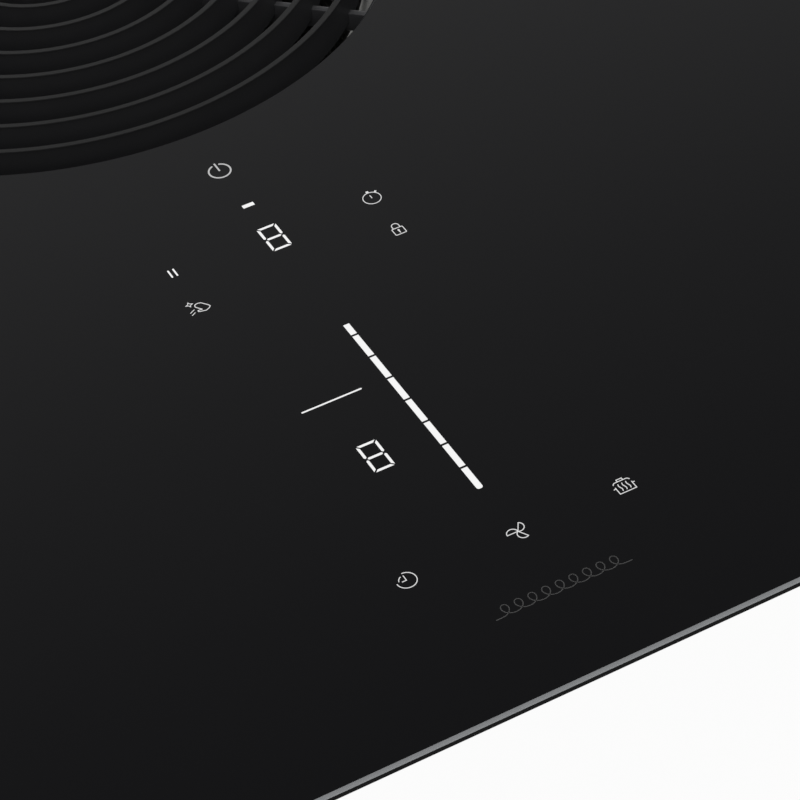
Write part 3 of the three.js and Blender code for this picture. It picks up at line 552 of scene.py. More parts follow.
class COOKTOP_OT_glass(bpy.types.Operator):
    """Make the ceramic glass plate with its ground edge and the intake's hole"""

    bl_idname = "cooktop.glass"
    bl_label = "Glass Plate"

    def execute(self, context):
        finishes = [
            material("black_ceramic_glass", ceramic_glass), material("ground_glass_edge", ground_glass),
            material("rough_glass_side", rough_glass),
        ]
        # Below the turn from the top to the arris, so the top stays a true mirror.
        smooth_angle = 18
        new_piece("glass_plate", glass_plate(), finishes, ROOT, ("glass_top",), smooth_angle)
        return {"FINISHED"}


# ---- Marks on the glass, each drawn about its own middle ----


def arc(centre, radius, start, end, steps=24):
    """Points along an arc, its angles in degrees from +X."""
    angles = [math.radians(start + (end - start) * i / steps) for i in range(steps + 1)]
    return [Vector((centre[0] + radius * math.cos(a), centre[1] + radius * math.sin(a))) for a in angles]


def stroke(bm, points, width, closed=False):
    """A flat line of the given width: a short cross edge, extruded from point to point with mitred corners."""
    path = [Vector(p) for p in points]
    if closed:
        path.append(path[0].copy())
    last = len(path) - 1
    edge = None
    for i, point in enumerate(path):
        before = (path[i] - path[i - 1]) if i else (path[0] - path[-2] if closed else path[1] - path[0])
        after = (path[i + 1] - path[i]) if i < last else (path[1] - path[0] if closed else before)
        way = (before.normalized() + after.normalized()).normalized()
        side = Vector((-way.y, way.x))
        reach = width / 2 / max(0.4, side.dot(Vector((-after.y, after.x)).normalized()))
        pair = [(point + side * reach).to_3d(), (point - side * reach).to_3d()]
        if edge is None:
            edge = bm.edges.new([bm.verts.new(p) for p in pair])
            left_place = pair[0]
        else:
            verts, (edge,), _ = drawn_out(bm, [edge])
            left, right = sorted(verts, key=lambda v: (v.co - left_place).length)
            left.co, right.co = pair
            left_place = pair[0]
    bmesh.ops.remove_doubles(bm, verts=bm.verts, dist=1e-4)


def bar(bm, width, height, radius=0, centre=(0, 0), front_only=False):
    """A flat bar, its corners rounded if need be, all four or only the two in front."""
    size = Matrix.Translation((*centre, 0)) @ Matrix.Diagonal((width / 2, height / 2, 1, 1))
    made = bmesh.ops.create_grid(bm, x_segments=1, y_segments=1, size=1, matrix=size)
    corners = [v for v in made["verts"] if not front_only or v.co.y < centre[1]]
    if radius:
        bmesh.ops.bevel(bm, geom=corners, offset=radius, segments=5, profile=0.5, affect="VERTICES", material=-1)


def outline(bm, points):
    bm.faces.new([bm.verts.new((x, y, 0)) for x, y in points])


def power_symbol(bm, line):
    radius = 2.32
    gap = math.degrees(0.72 / radius)
    stroke(bm, arc((0, 0), radius, 90 + gap, 450 - gap, 48), line)
    bar(bm, line, 2.84, centre=(0, 1.42))


def timer_symbol(bm, line):
    """A stopwatch: a ring with its hand and two knobs."""
    stroke(bm, arc((0, 0), 1.9, 0, 360, 40)[:-1], line, closed=True)
    bar(bm, line, 1.05, centre=(0, 0.5))
    for angle, width in ((90, 0.55), (46, 0.42)):
        way = Vector((math.cos(math.radians(angle)), math.sin(math.radians(angle))))
        stroke(bm, [way * 1.95, way * 2.5], width)


def lock_symbol(bm, line):
    """A body 2.4 mm wide, with a round shackle above and a drop-shaped keyhole."""
    half, high, cut, shackle = 1.2, 1.05, 0.15, 0.76
    stroke(bm, [(-half, cut - high), (-half, high - cut), (cut - half, high), (half - cut, high), (half, high - cut),
                (half, cut - high), (half - cut, -high), (cut - half, -high)], line, closed=True)
    top = arc((0, high + 0.74), shackle, 180, 0, 14)
    stroke(bm, [(-shackle, high)] + top + [(shackle, high)], line)
    bmesh.ops.create_circle(bm, cap_ends=True, radius=0.22, segments=16, matrix=Matrix.Translation((0, 0.3, 0)))
    outline(bm, [(-0.16, 0.2), (-0.06, -0.7), (0.06, -0.7), (0.16, 0.2)])


def pause_symbol(bm, line):
    for side in (-1, 1):
        bar(bm, line, 2.5, 0.15, (side * 0.56, 0))


def wipe_symbol(bm, line):
    """A hand with its thumb tucked under, a sparkle, and two strokes for the movement."""
    stroke(bm, [(0.1, -0.87), (-0.49, -0.08), (-0.84, 0.45), (-0.8, 0.9), (-0.48, 1.2), (0.05, 1.28), (0.65, 1.08),
                (1.12, 0.45), (1.68, -0.3), (1.86, -0.78), (1.45, -1.2), (0.62, -1.58), (0.15, -1.42), (-0.35, -1.32),
                (-0.82, -1.18), (-0.86, -0.82), (-0.4, -0.78), (0.1, -0.87)], line)
    star = []
    for i in range(8):
        reach, angle = (0.31 if i % 2 else 0.7), i * math.pi / 4
        star.append((-1.6 + reach * math.sin(angle), 1.74 + reach * math.cos(angle)))
    stroke(bm, star, line * 0.85, closed=True)
    for start, length in ((Vector((-1.35, -0.12)), 1.3), (Vector((-1.55, -1.04)), 1.05)):
        stroke(bm, [start, start + length * Vector((-0.87, -0.49))], line * 0.9)


def clock_symbol(bm, line):
    """A ring open at the upper left, where a shorter arc runs inside it."""
    stroke(bm, arc((0, 0), 1.93, 90, -180, 36), line)
    stroke(bm, arc((0, 0), 1.39, 113, 167, 8), line)
    stroke(bm, [(0, 1.35), (0, 0), (-0.9, 0)], line)


def fan_symbol(bm, line):
    """Three blades, each straight on one side and round on the other."""
    half = 1.1
    blade = [Vector((0, 0)), Vector((2 * half, 0))] + arc((half, 0), half + 0.02, 0, -180, 12)[1:-1]
    for turn in (180, 60, -60):
        spin = Matrix.Rotation(math.radians(turn), 2)
        stroke(bm, [spin @ p for p in blade], line, closed=True)


def pot_symbol(bm, line):
    """A pot with two handles and a lid, and three wisps of steam in front."""
    half, high, lid, knob = 1.72, 0.95, 2.1, 0.57
    stroke(bm, [(-half, high), (-half, -high), (half, -high), (half, high)], line)
    for side in (-1, 1):
        stroke(bm, [(side * half, high - 0.3), (side * (half + 0.5), high - 0.38)], line)
    left_end = arc((0.6 - half, lid - 0.6), 0.6, 170, 90, 6)
    right_end = arc((half - 0.6, lid - 0.6), 0.6, 90, 10, 6)
    stroke(bm, left_end + right_end, line)
    stroke(bm, [(-knob, lid), (-knob, lid + 0.52), (knob, lid + 0.52), (knob, lid)], line)
    for offset in (-0.83, 0, 0.83):
        stroke(bm, [(offset - 0.13 * math.sin(math.tau * i / 12), 1.5 - 1.95 * i / 12) for i in range(13)], line)


def digit_eight(bm, width, height):
    """Seven segments: three across and four upright, with mitred corners and pointed ends at the waist."""
    w, h, thick, gap = width / 2, height / 2, 0.55, 0.26
    for up in (-1, 1):
        outline(bm, [(gap - w, up * h), (w - gap, up * h), (w - gap - thick, up * (h - thick)),
                     (gap + thick - w, up * (h - thick))])
        for side in (-1, 1):
            outline(bm, [(side * w, up * (h - gap)), (side * (w - thick), up * (h - gap - thick)),
                         (side * (w - thick), up * (thick / 2 + gap)), (side * (w - thick / 2), up * gap),
                         (side * w, up * (thick / 2 + gap))])
    reach, half = w - thick / 2 - gap, thick / 2
    outline(bm, [(-reach, 0), (half - reach, half), (reach - half, half), (reach, 0), (reach - half, -half),
                 (half - reach, -half)])


def slider(bm, step):
    """Eight bars in a row from the first gap towards the front; the last one has rounded front corners."""
    width, gap = 0.174 * step, 0.078 * step
    top = 0.501 * step
    for i in range(8):
        bottom = gap / 2 - i * step if i < 7 else -6.907 * step
        bar(bm, width, top - bottom, 0.5 if i == 7 else 0, (0, (top + bottom) / 2), front_only=True)
        top = -i * step - gap / 2


def coil_sign(bm, length, height, turns, line):
    """A printed coil, the usual sign for an induction winding: loops in a row with a lead at each end."""
    end, loop = length / 2, height / 2
    travel = (length - 2 * loop) / turns
    points = [Vector((-end, -loop)), Vector((loop - end, -loop))]
    for i in range(1, turns * 16):
        angle = math.tau * i / 16
        points.append(Vector((loop - end + travel * i / 16 + loop * math.sin(angle), -loop * math.cos(angle))))
    points += [Vector((end - loop, -loop)), Vector((end, -loop))]
    for a, b in zip(points, points[1:]):
        stroke(bm, [a, b + (b - a).normalized() * line * 0.3], line)


def zone_crosses(bm, reach, line):
    """Printed crosses that show the middles of the cooking zones."""
    arm = reach - line / 2
    for end in ("front", "back"):
        for side in ("left", "right"):
            x, y, _ = middle(f"induction_coil_{end}_{side}")
            bar(bm, 2 * reach, line, centre=(x, y))
            for way in (-1, 1):
                bar(bm, line, arm, centre=(x, y + way * (line + arm) / 2))


def flat_mark(name, x, y, finish, draw, *sizes):
    """Draws a mark at its place and gives its flat faces their thickness, down from the top of the glass."""
    bm = bmesh.new()
    draw(bm, *sizes)
    bmesh.ops.recalc_face_normals(bm, faces=bm.faces)
    for face in bm.faces:
        if face.normal.z < 0:
            face.normal_flip()
    upper = verts_in(bmesh.ops.extrude_face_region(bm, geom=list(bm.faces))["geom"])
    bmesh.ops.translate(bm, vec=(0, 0, MARK_THICK), verts=upper)
    bmesh.ops.translate(bm, vec=(x, y, GLASS_HIGH.z - MARK_THICK), verts=bm.verts)
    bmesh.ops.recalc_face_normals(bm, faces=bm.faces)
    new_piece(name, bm, [finish], smooth_angle=0)


class COOKTOP_OT_marks(bpy.types.Operator):
    """Draw the lit digits, slider and key symbols and the printed marks"""

    bl_idname = "cooktop.marks"
    bl_label = "Touch Controls"

    def execute(self, context):
        marks = settings("marks")
        step, line, bold = marks.step, marks.line, marks.bold
        digit = marks.digit_width, marks.digit_height
        lit = material("display_light", light_through, marks.lit)
        keys = material("key_light", light_through, marks.symbol)
        power = material("power_light", light_through, marks.power)
        ink = material("fired_ceramic_ink", fired_ink, marks.ink)
        side, front = 3.083 * step, -30.41 * step
        # Name, middle of the mark from the middle of the intake, finish, drawing and its sizes.
        for mark in (
            ("power_key", 0, -13.261 * step, power, power_symbol, bold),
            ("timer_key", side, -16.777 * step, keys, timer_symbol, line),
            ("lock_key", 22.34, -18.475 * step, keys, lock_symbol, line),
            ("pause_key", -22.32, -16.655 * step, lit, pause_symbol, bold),
            ("wipe_key", -22.05, -18.36 * step, keys, wipe_symbol, line),
            ("clock_key", -side, front, keys, clock_symbol, line),
            ("fan_key", 0.29, front, keys, fan_symbol, line),
            ("pot_key", 22.52, -30.52 * step, keys, pot_symbol, line),
            ("power_bar", 0.05, -110.85, lit, bar, 2.55, 1.03),
            ("zone_digit", 0, -123.17, lit, digit_eight, *digit),
            ("timer_digit", -12.42, -191.4, lit, digit_eight, *digit),
            ("zone_line", -1.694 * step, -23.656 * step, lit, bar, 1.762 * step, 0.36, 0.17),
            ("level_slider", 0, -21.68 * step, lit, slider, step),
            ("coil_mark", 0.06, -32.56 * step, ink, coil_sign, 27.8, 2.7, 9, 0.18),
            ("zone_crosses", 0, 0, ink, zone_crosses, 6, 0.6),
        ):
            flat_mark(*mark)
        return {"FINISHED"}


# ---- Intake ----


class COOKTOP_OT_grille(bpy.types.Operator):
    """Make the ring grille that covers the intake"""

    bl_idname = "cooktop.grille"
    bl_label = "Ring Grille"

    def execute(self, context):
        grille = settings("grille")
        coat = material("black_powder_coat", powder_coat)
        foot, top = GRILLE_LOW.z, GRILLE_HIGH.z
        low, edge, half = top - grille.depth, 0.15, grille.thick / 2
        bm = bmesh.new()
        for i in range(grille.rings):
            radius = grille.first - i * grille.pitch
            inner, outer = radius - half, radius + half
            spun(bm, [(inner, low), (outer, low), (outer, top - edge), (outer - edge, top), (inner + edge, top),
                      (inner, top - edge), (inner, low)], max(32, round(radius * 2.4)))
        hub = 4
        spun(bm, [(0, foot), (hub - 0.6, foot), (hub, foot + 0.6), (hub, top - 1), (hub - 0.4, top - 0.3),
                  (hub - 1.2, top), (0, top)], 32)
        new_piece("ring_grille", closed_shape(bm), [coat], "grille", ("vent_grille",))
        bm = bmesh.new()
        for i in range(4):
            turn = Matrix.Rotation(math.radians(45 + 90 * i), 4, "Z")
            block(bm, (hub - 0.6, -0.9, foot), (79.4, 0.9, foot + 4.8), turn)
        new_piece("grille_ribs", softened(bm, 0.3), [coat], "grille")
        return {"FINISHED"}


def basket_wall(steps, windows, slot_low, slot_high):
    """The basket's sheet as one thin skin, with upright windows left open round it."""
    outer, flange = 73.0, BASKET_HIGH.x
    low, high = BASKET_LOW.z, BASKET_HIGH.z
    foot, bend = outer - 3, low + 4
    slope = (outer - foot) / (high - bend)
    rows = [slot_low, (slot_low + slot_high) / 2, slot_high]
    bm = bmesh.new()
    spun(bm, [(0, low), (outer - 8, low), (outer - 4.5, low + 1), (foot, bend)]
         + [(foot + slope * (z - bend), z) for z in rows]
         + [(outer, high - 2.6), (outer + 1, high - 1.2), (flange - 1, high - 1), (flange, high - 1.6)], steps)
    closed_shape(bm)
    period = math.tau / windows
    opened = []
    for face in bm.faces:
        centre = face.calc_center_median()
        share = (math.atan2(centre.y, centre.x) % period) / period
        if slot_low < centre.z < slot_high and 0.14 < share < 0.86:
            opened.append(face)
    bmesh.ops.delete(bm, geom=opened, context="FACES")
    bmesh.ops.recalc_face_normals(bm, faces=bm.faces)
    bmesh.ops.solidify(bm, geom=list(bm.faces), thickness=1.0)
    return bm


def perforated_sleeve(steps, rows):
    """A sleeve of fine perforated sheet: each small face is inset and its middle opened."""
    low, high, bridge = MESH_LOW.z + 0.2, MESH_HIGH.z, 0.7
    foot = 67.3
    slope = (MESH_HIGH.x - 0.4 - foot) / rows
    bm = bmesh.new()
    spun(bm, [(foot + slope * i, low + (high - low) * i / rows) for i in range(rows + 1)], steps)
    closed_shape(bm)
    bmesh.ops.inset_individual(bm, faces=list(bm.faces), thickness=bridge, use_even_offset=True)
    hole = (math.tau * foot / steps - 2 * bridge) * ((high - low) / rows - 2 * bridge)
    middles = [f for f in bm.faces if f.calc_area() > 0.7 * hole and all(len(e.link_faces) == 2 for e in f.edges)]
    bmesh.ops.delete(bm, geom=middles, context="FACES")
    bmesh.ops.solidify(bm, geom=list(bm.faces), thickness=0.5)
    return bm


class COOKTOP_OT_filter(bpy.types.Operator):
    """Make the filter basket, its mesh sleeve, the well and the drip tray"""

    bl_idname = "cooktop.filter"
    bl_label = "Filter and Well"

    def execute(self, context):
        steel = material("brushed_stainless_steel", brushed, linear("#B9B9B6"), (1, 1, 12), 0.3)
        basket = basket_wall(144, 12, 92, 182)
        new_piece("filter_basket_shell", basket, [steel], "filter", ("filter_floor", "filter_basket", "filter_rim"))
        new_piece("filter_sleeve", perforated_sleeve(120, 30), [steel], "filter", ("filter_mesh",), 30)
        outer, tube, top, foot = WELL_HIGH.x, 78.5, WELL_HIGH.z, WELL_LOW.z
        rim, inner, ledge = 80.2, 76.0, 196.0
        turned_piece("intake_well", [
            (inner, foot), (tube, foot), (tube, ledge - 9), (outer, ledge - 5), (outer, top), (rim + 0.6, top),
            (rim, top - 0.6), (rim, ledge + 0.5), (rim - 0.5, ledge), (inner + 0.6, ledge), (inner, ledge - 0.6),
        ], 128, black_plastic(), ROOT, ("inlet_well",))
        rim, low, high = TRAY_HIGH.x, TRAY_LOW.z, TRAY_HIGH.z
        turned_piece("drip_tray_shell", [
            (0, low), (rim - 6, low), (rim - 2, low + 1.2), (rim, low + 5), (rim, high - 0.4), (rim - 0.5, high),
            (rim - 1.2, high), (rim - 1.5, high - 0.4), (rim - 1.5, low + 5.4), (rim - 3, low + 2.6),
            (rim - 6.5, low + 1.5), (0, low + 1.5),
        ], 96, grey_plastic(), "drip_tray", ("drip_tray_floor", "drip_tray_wall"))
        return {"FINISHED"}


# ---- Pan, clamps and supply ----


def screw_heads(places, radius, way):
    """Pan-head screws with a round socket. way is 1 for heads that point up, -1 for ones that point down."""
    bm = bmesh.new()
    height, socket = radius * 0.6, radius * 0.42
    for x, y, z in places:
        spun(bm, [(socket, z + way * height), (radius * 0.75, z + way * height * 0.92),
                  (radius * 0.95, z + way * height * 0.5), (radius, z)], 20, (x, y))
        floor = Matrix.Translation((x, y, z + way * height * 0.35))
        rim = Matrix.Translation((x, y, z + way * height))
        bmesh.ops.create_circle(bm, cap_ends=True, radius=socket, segments=20, matrix=floor)
        low = bmesh.ops.create_circle(bm, radius=socket, segments=20, matrix=floor)["verts"]
        high = bmesh.ops.create_circle(bm, radius=socket, segments=20, matrix=rim)["verts"]
        bmesh.ops.bridge_loops(bm, edges=edges_of(low + high))
    return closed_shape(bm)


def pan_beads():
    """Long beads pressed into the pan's floor to stiffen it, clear of its holes and of what hangs below."""
    bm = bmesh.new()
    for side, rows in ((-1, (-130, -95, -40, 0, 40)), (1, (-130, -95))):
        for y in rows:
            block(bm, (min(side * 110, side * 325), y - 4.5, PAN_LOW.z - 1.6),
                  (max(side * 110, side * 325), y + 4.5, PAN_LOW.z + 0.2))
    return softened(bm, 1.5, segments=3)


def wire_guards(radii, wire, bars):
    """Round guards of welded wire over the cooling fans' openings in the pan's floor."""
    bm = bmesh.new()
    level, end = PAN_LOW.z - wire, radii[-1] + 3
    for side in ("left", "right"):
        place = middle(f"cooling_fan_frame_{side}")
        for radius in radii:
            spun(bm, [(radius + p.x, level + p.y) for p in arc((0, 0), wire, 0, 360, 8)], 48, place)
        for i in range(bars):
            turn = Matrix.Translation(place) @ Matrix.Rotation(math.pi * i / bars, 4, "Z")
            block(bm, (-end, -wire, level + 0.3 * wire), (end, wire, PAN_LOW.z), turn)
    return closed_shape(bm)


def threaded(bm, low, high, radius, pitch, depth):
    """A screw thread: a tooth's outline swept round and up as one unbroken helix."""
    core, turns = radius - depth, (high - low) / pitch - 1
    steps = round(turns * 12)
    tooth = [(core - 0.1, 0), (core, 0.1), (radius, 0.45), (radius, 0.55), (core, 0.9), (core - 0.1, 1)]
    chain = [bm.verts.new((r, 0, low + z * pitch)) for r, z in tooth]
    edges = [bm.edges.new(pair) for pair in zip(chain, chain[1:] + chain[:1])]
    made = bmesh.ops.spin(
        bm, geom=chain + edges, cent=(0, 0, low), axis=(0, 0, 1), angle=math.tau * turns, steps=steps,
        dvec=(0, 0, pitch * turns / steps), use_merge=False,
    )
    bmesh.ops.holes_fill(bm, edges=edges + [g for g in made["geom_last"] if isinstance(g, bmesh.types.BMEdge)])


def hexagon(bm, low, high, across, bevel):
    """A six-sided nut with its corners broken."""
    radius = across / math.sqrt(3)
    made = bmesh.ops.create_cone(
        bm, cap_ends=True, segments=6, radius1=radius, radius2=radius, depth=high - low,
        matrix=Matrix.Translation((0, 0, (low + high) / 2)),
    )
    bmesh.ops.bevel(bm, geom=edges_of(made["verts"]), offset=bevel, segments=2, profile=0.5, affect="EDGES",
                    material=-1)


def clamp_screws(node_names):
    """Long screws with the head on the pan's ledge, a thread, and the nut that draws the clamp's arm up."""
    low, high = millimetres(node_names[0])
    radius, pitch, depth = 2.5, 0.8, 0.4
    core, ledge, nut_low = radius - depth, high.z - 3.4, 144.7
    bm = bmesh.new()
    spun(bm, [(0, low.z), (core - 0.5, low.z), (core, low.z + 0.6), (core, ledge), (4.4, ledge),
              (4.5, ledge + 1.2), (3.6, high.z - 0.4), (2.6, high.z), (0, high.z)], 32)
    threaded(bm, low.z + 0.6, ledge - 1, radius, pitch, depth)
    hexagon(bm, nut_low, nut_low + 5, 7.8, 0.4)
    closed_shape(bm)
    first = list(bm.verts) + list(bm.edges) + list(bm.faces)
    places = [middle(name) for name in node_names]
    for place in places[1:]:
        made = bmesh.ops.duplicate(bm, geom=first)["geom"]
        bmesh.ops.translate(bm, vec=place, verts=verts_in(made))
    bmesh.ops.translate(bm, vec=places[0], verts=verts_in(first))
    return bm


def cable_gland():
    """A plastic gland with its six-sided body, ribbed cap and rubber ring, made upright and laid on its side."""
    low, high = millimetres("cable_gland")
    place = (low + high) / 2
    place.y = millimetres("terminal_box")[1].y
    bm = bmesh.new()
    hexagon(bm, 0.6, 7, 22.4, 0.6)
    spun(bm, [(5, -8), (8.5, -8), (8.5, 7), (11, 7), (11, 12), (9, 16), (5, 16), (5, -8)], 40)
    for i in range(20):
        block(bm, (10.7, -0.5, 7.4), (11.6, 0.5, 12), Matrix.Rotation(math.tau * i / 20, 4, "Z"))
    spun(bm, [(3.2, 5), (5, 5), (5, 15.4), (3.2, 15.4), (3.2, 5)], 24)
    turn = Matrix.Translation(place) @ Matrix.Rotation(-math.pi / 2, 4, "X")
    bmesh.ops.transform(bm, matrix=turn, verts=bm.verts)
    return closed_shape(bm)


class COOKTOP_OT_pan(bpy.types.Operator):
    """Finish the pan, its seal, clamps and screws, and the supply box"""

    bl_idname = "cooktop.pan"
    bl_label = "Pan and Clamps"

    def execute(self, context):
        under = settings("under")
        zinc = material("galvanised_sheet", galvanised)
        steel = material("zinc_plated_screw", brushed, linear("#A9ABAA"), (1, 1, 1), 0.35)
        foam = material("seal_foam", foam_rubber, linear("#262626"), 0.8)
        carried("base_pan", zinc, under.edge)
        carried("glass_seal", foam, under.edge)
        carried("well_seal", foam, under.edge)
        corners = [f"{end}_{side}" for side in ("left", "right") for end in ("front", "back")]
        for corner in corners:
            carried(f"clamp_arm_{corner}", zinc, under.fold, f"clamp_{corner}")
        screws = [f"clamp_screw_{corner}" for corner in corners]
        new_piece("clamp_screws", clamp_screws(screws), [steel], ROOT, screws, 30)
        for end in ("front", "back"):
            carried(f"hanger_strap_{end}", zinc, under.fold)
        carried("terminal_box", black_plastic(), under.edge)
        carried("terminal_cover", black_plastic(), under.edge, "terminal_cover")
        new_piece("cable_gland_piece", cable_gland(), [grey_plastic()], ROOT, ("cable_gland",), 30)
        new_piece("pan_beads", pan_beads(), [zinc])
        new_piece("cooling_fan_guards", wire_guards((8, 16, 24, 32), 0.6, 3), [steel])
        # Sheet screws sit in the flange, along both long sides.
        row_x, row_y, flange = PAN_HIGH.x - 54, PAN_HIGH.y - 14, 190
        xs = [row_x * (2 * i / (under.screws - 1) - 1) for i in range(under.screws)]
        new_piece("pan_screws", screw_heads([(x, y, flange) for x in xs for y in (row_y, -row_y)], 3.2, -1), [steel])
        low, high = millimetres("terminal_cover")
        places = [(x, y, low.z) for x in (low.x + 8, high.x - 8) for y in (low.y + 12, high.y - 8)]
        new_piece("terminal_screws", screw_heads(places, 2.6, -1), [steel], "terminal_cover")
        return {"FINISHED"}


# ---- Fan unit ----

# Where the plenum's straight walls start: its left wall, its front wall, and the round nose between them.
WALL_LEFT, WALL_FRONT, NOSE_END = -66, -45, 84


def plenum_sides(spacing, start):
    """Places along the straight walls of the plenum, each with its way outward."""
    right, back = PLENUM_HIGH.x, PLENUM_HIGH.y
    last_x, last_y, first = int(right) - 20, int(back) - 20, 20 + start
    places = [(x, WALL_FRONT, 0, -1) for x in range(NOSE_END + start, last_x, spacing)]
    places += [(x, back, 0, 1) for x in range(WALL_LEFT + first, last_x, spacing)]
    places += [(right, y, 1, 0) for y in range(WALL_FRONT + first, last_y, spacing)]
    return places + [(WALL_LEFT, y, -1, 0) for y in range(NOSE_END + start, last_y, spacing)]


def wall_blocks(places, half_width, proud, low, high, radius):
    """One block against the wall at each place."""
    bm = bmesh.new()
    for x, y, out_x, out_y in places:
        along_x, along_y = half_width * abs(out_y), half_width * abs(out_x)
        xs = sorted((x - 0.3 * out_x, x + proud * out_x))
        ys = sorted((y - 0.3 * out_y, y + proud * out_y))
        block(bm, (xs[0] - along_x, ys[0] - along_y, low), (xs[1] + along_x, ys[1] + along_y, high))
    return softened(bm, radius)


class COOKTOP_OT_fan_unit(bpy.types.Operator):
    """Finish the plenum, the fan housing, the wheel and the outlet"""

    bl_idname = "cooktop.fan_unit"
    bl_label = "Fan Unit"

    def execute(self, context):
        edge, lip = settings("under").edge, 0.3
        plastic, grey = black_plastic(), grey_plastic()
        steel = material("motor_steel", brushed, linear("#9A9C9D"), (1, 1, 8), 0.35)
        rubber = material("solid_rubber", foam_rubber, linear("#1E1E1E"), 0.3)
        for name in ("plenum_base", "plenum_lid", "scroll_housing", "outlet_adapter"):
            carried(name, plastic, edge)
        carried("fan_inlet_ring", grey, lip)
        carried("outlet_flap", grey, lip, "outlet_flap")
        for name in ("spigot_seal", "rubber_buffer_1", "rubber_buffer_2", "rubber_buffer_3"):
            carried(name, rubber, edge)
        seam = PLENUM_HIGH.z
        ribs = wall_blocks(plenum_sides(34, 0), 0.9, 2.2, PLENUM_LOW.z + 4, seam - 3, 0.4)
        new_piece("plenum_ribs", ribs, [plastic])
        clips = wall_blocks(plenum_sides(68, 17), 6, 2.6, seam - 9, seam + 2.3, 0.6)
        new_piece("plenum_clips", clips, [plastic])
        repaint("impeller", grey)
        repaint("wheel_shaft", steel)
        repaint("fan_motor", steel)
        return {"FINISHED"}


class COOKTOP_OT_electronics(bpy.types.Operator):
    """Finish the coils, boards and cooling fans inside the pan"""

    bl_idname = "cooktop.electronics"
    bl_label = "Coils and Electronics"

    def execute(self, context):
        aluminium = material("mill_finish_aluminium", brushed, linear("#C4C6C8"), (1, 12, 1), 0.38)
        board = material("solder_mask", solder_mask)
        litz = material("copper_litz", litz_winding)
        for side in ("left", "right"):
            for name in ("coil_tray", "heat_sink"):
                repaint(f"{name}_{side}", aluminium)
            for name in ("electronics_holder", "cooling_fan_frame", "cooling_fan_rotor"):
                repaint(f"{name}_{side}", black_plastic())
            repaint(f"inverter_board_{side}", board)
            for end in ("front", "back"):
                repaint(f"induction_coil_{end}_{side}", litz)
        repaint("control_holder", black_plastic())
        repaint("light_guide", black_plastic())
        repaint("control_board", board)
        return {"FINISHED"}


# ---- Stage ----

# The floor lies this much below the lowest face.
FLOOR_GAP = 0.4


def white_paper(tree, place):
    """Matt white paper. Seen straight it is nearly white by itself, and keeps a faint shadow."""
    floor = settings("stage").floor
    paper = node(tree, "ShaderNodeBsdfDiffuse", {"Color": patchy(tree, place, 40, shaded(floor, 0.99), floor)})
    white = node(tree, "ShaderNodeEmission", {"Strength": 1.0})
    path = node(tree, "ShaderNodeLightPath")
    share = node(tree, "ShaderNodeMath", {0: (path, "Is Camera Ray"), 1: 0.96}, operation="MULTIPLY")
    mix = node(tree, "ShaderNodeMixShader", {0: (share, "Value"), 1: (paper, 0), 2: (white, 0)})
    # From below the paper is clear, and so it is to light that leaves a face resting on it. Otherwise the underside
    # that is looked at from there would be black.
    side = node(tree, "ShaderNodeNewGeometry")
    near = node(tree, "ShaderNodeMath", {0: (path, "Ray Length"), 1: 8 * FLOOR_GAP * MM}, operation="LESS_THAN")
    through = node(tree, "ShaderNodeMath", {0: (side, "Backfacing"), 1: (near, "Value")}, operation="MAXIMUM")
    clear = node(tree, "ShaderNodeBsdfTransparent")
    return node(tree, "ShaderNodeMixShader", {0: (through, "Value"), 1: (mix, 0), 2: (clear, 0)})


# The mirrored screen leans back by this angle. Its light falls off with the height above that plane.
SCREEN_TILT = math.radians(43)
SCREEN_LIGHT = (
    (-0.45, 0.7), (-0.122, 0.345), (-0.052, 0.268), (0.018, 0.192), (0.087, 0.136), (0.156, 0.102), (0.4, 0.07),
)


def studio_world():
    """White all round for the camera. Mirrors see a white horizon under a screen that darkens as it rises."""
    world = bpy.data.worlds.new("studio")
    bpy.context.scene.world = world
    world.use_nodes = True
    tree = world.node_tree
    tree.nodes.clear()
    place = node(tree, "ShaderNodeTexCoord"), "Generated"
    apart = node(tree, "ShaderNodeSeparateXYZ", {"Vector": place})
    # How far a mirrored ray points above the screen's tilt, from -1 to 1.
    tilt = (0, -math.sin(SCREEN_TILT), math.cos(SCREEN_TILT))
    above = node(tree, "ShaderNodeVectorMath", {0: place, 1: tilt}, operation="DOT_PRODUCT")
    low, high = SCREEN_LIGHT[0][0], SCREEN_LIGHT[-1][0]
    share = node(tree, "ShaderNodeMapRange", {"Value": (above, "Value"), "From Min": low, "From Max": high})
    screen = node(tree, "ShaderNodeValToRGB", {"Fac": (share, "Result")})
    ramp = screen.color_ramp
    while len(ramp.elements) < len(SCREEN_LIGHT):
        ramp.elements.new(0.5)
    for element, (height, light) in zip(ramp.elements, SCREEN_LIGHT):
        element.position = (height - low) / (high - low)
        element.color = (light, light, light, 1)
    horizon = node(tree, "ShaderNodeMapRange", {
        "Value": (apart, "Z"), "From Min": 0.2, "From Max": 0.5, "To Min": 1.0, "To Max": 0.0,
    }, interpolation_type="SMOOTHSTEP")
    white = (1, 1, 1, 1)
    mirror = node(tree, "ShaderNodeMix", {
        "Factor": (horizon, "Result"), "A": (screen, "Color"), "B": white,
    }, data_type="RGBA")
    path = node(tree, "ShaderNodeLightPath")
    ambient = node(tree, "ShaderNodeBackground", {"Color": white, "Strength": 0.6})
    seen = node(tree, "ShaderNodeBackground", {"Color": white, "Strength": 1.0})
    glossy = node(tree, "ShaderNodeBackground", {"Color": (mirror, "Result"), "Strength": 1.0})
    first = node(tree, "ShaderNodeMixShader", {0: (path, "Is Glossy Ray"), 1: (ambient, 0), 2: (glossy, 0)})
    second = node(tree, "ShaderNodeMixShader", {0: (path, "Is Camera Ray"), 1: (first, 0), 2: (seen, 0)})
    node(tree, "ShaderNodeOutputWorld", {"Surface": (second, 0)})


def placed(name, data):
    """A new object in the scene."""
    made = bpy.data.objects.new(name, data)
    bpy.context.scene.collection.objects.link(made)
    return made


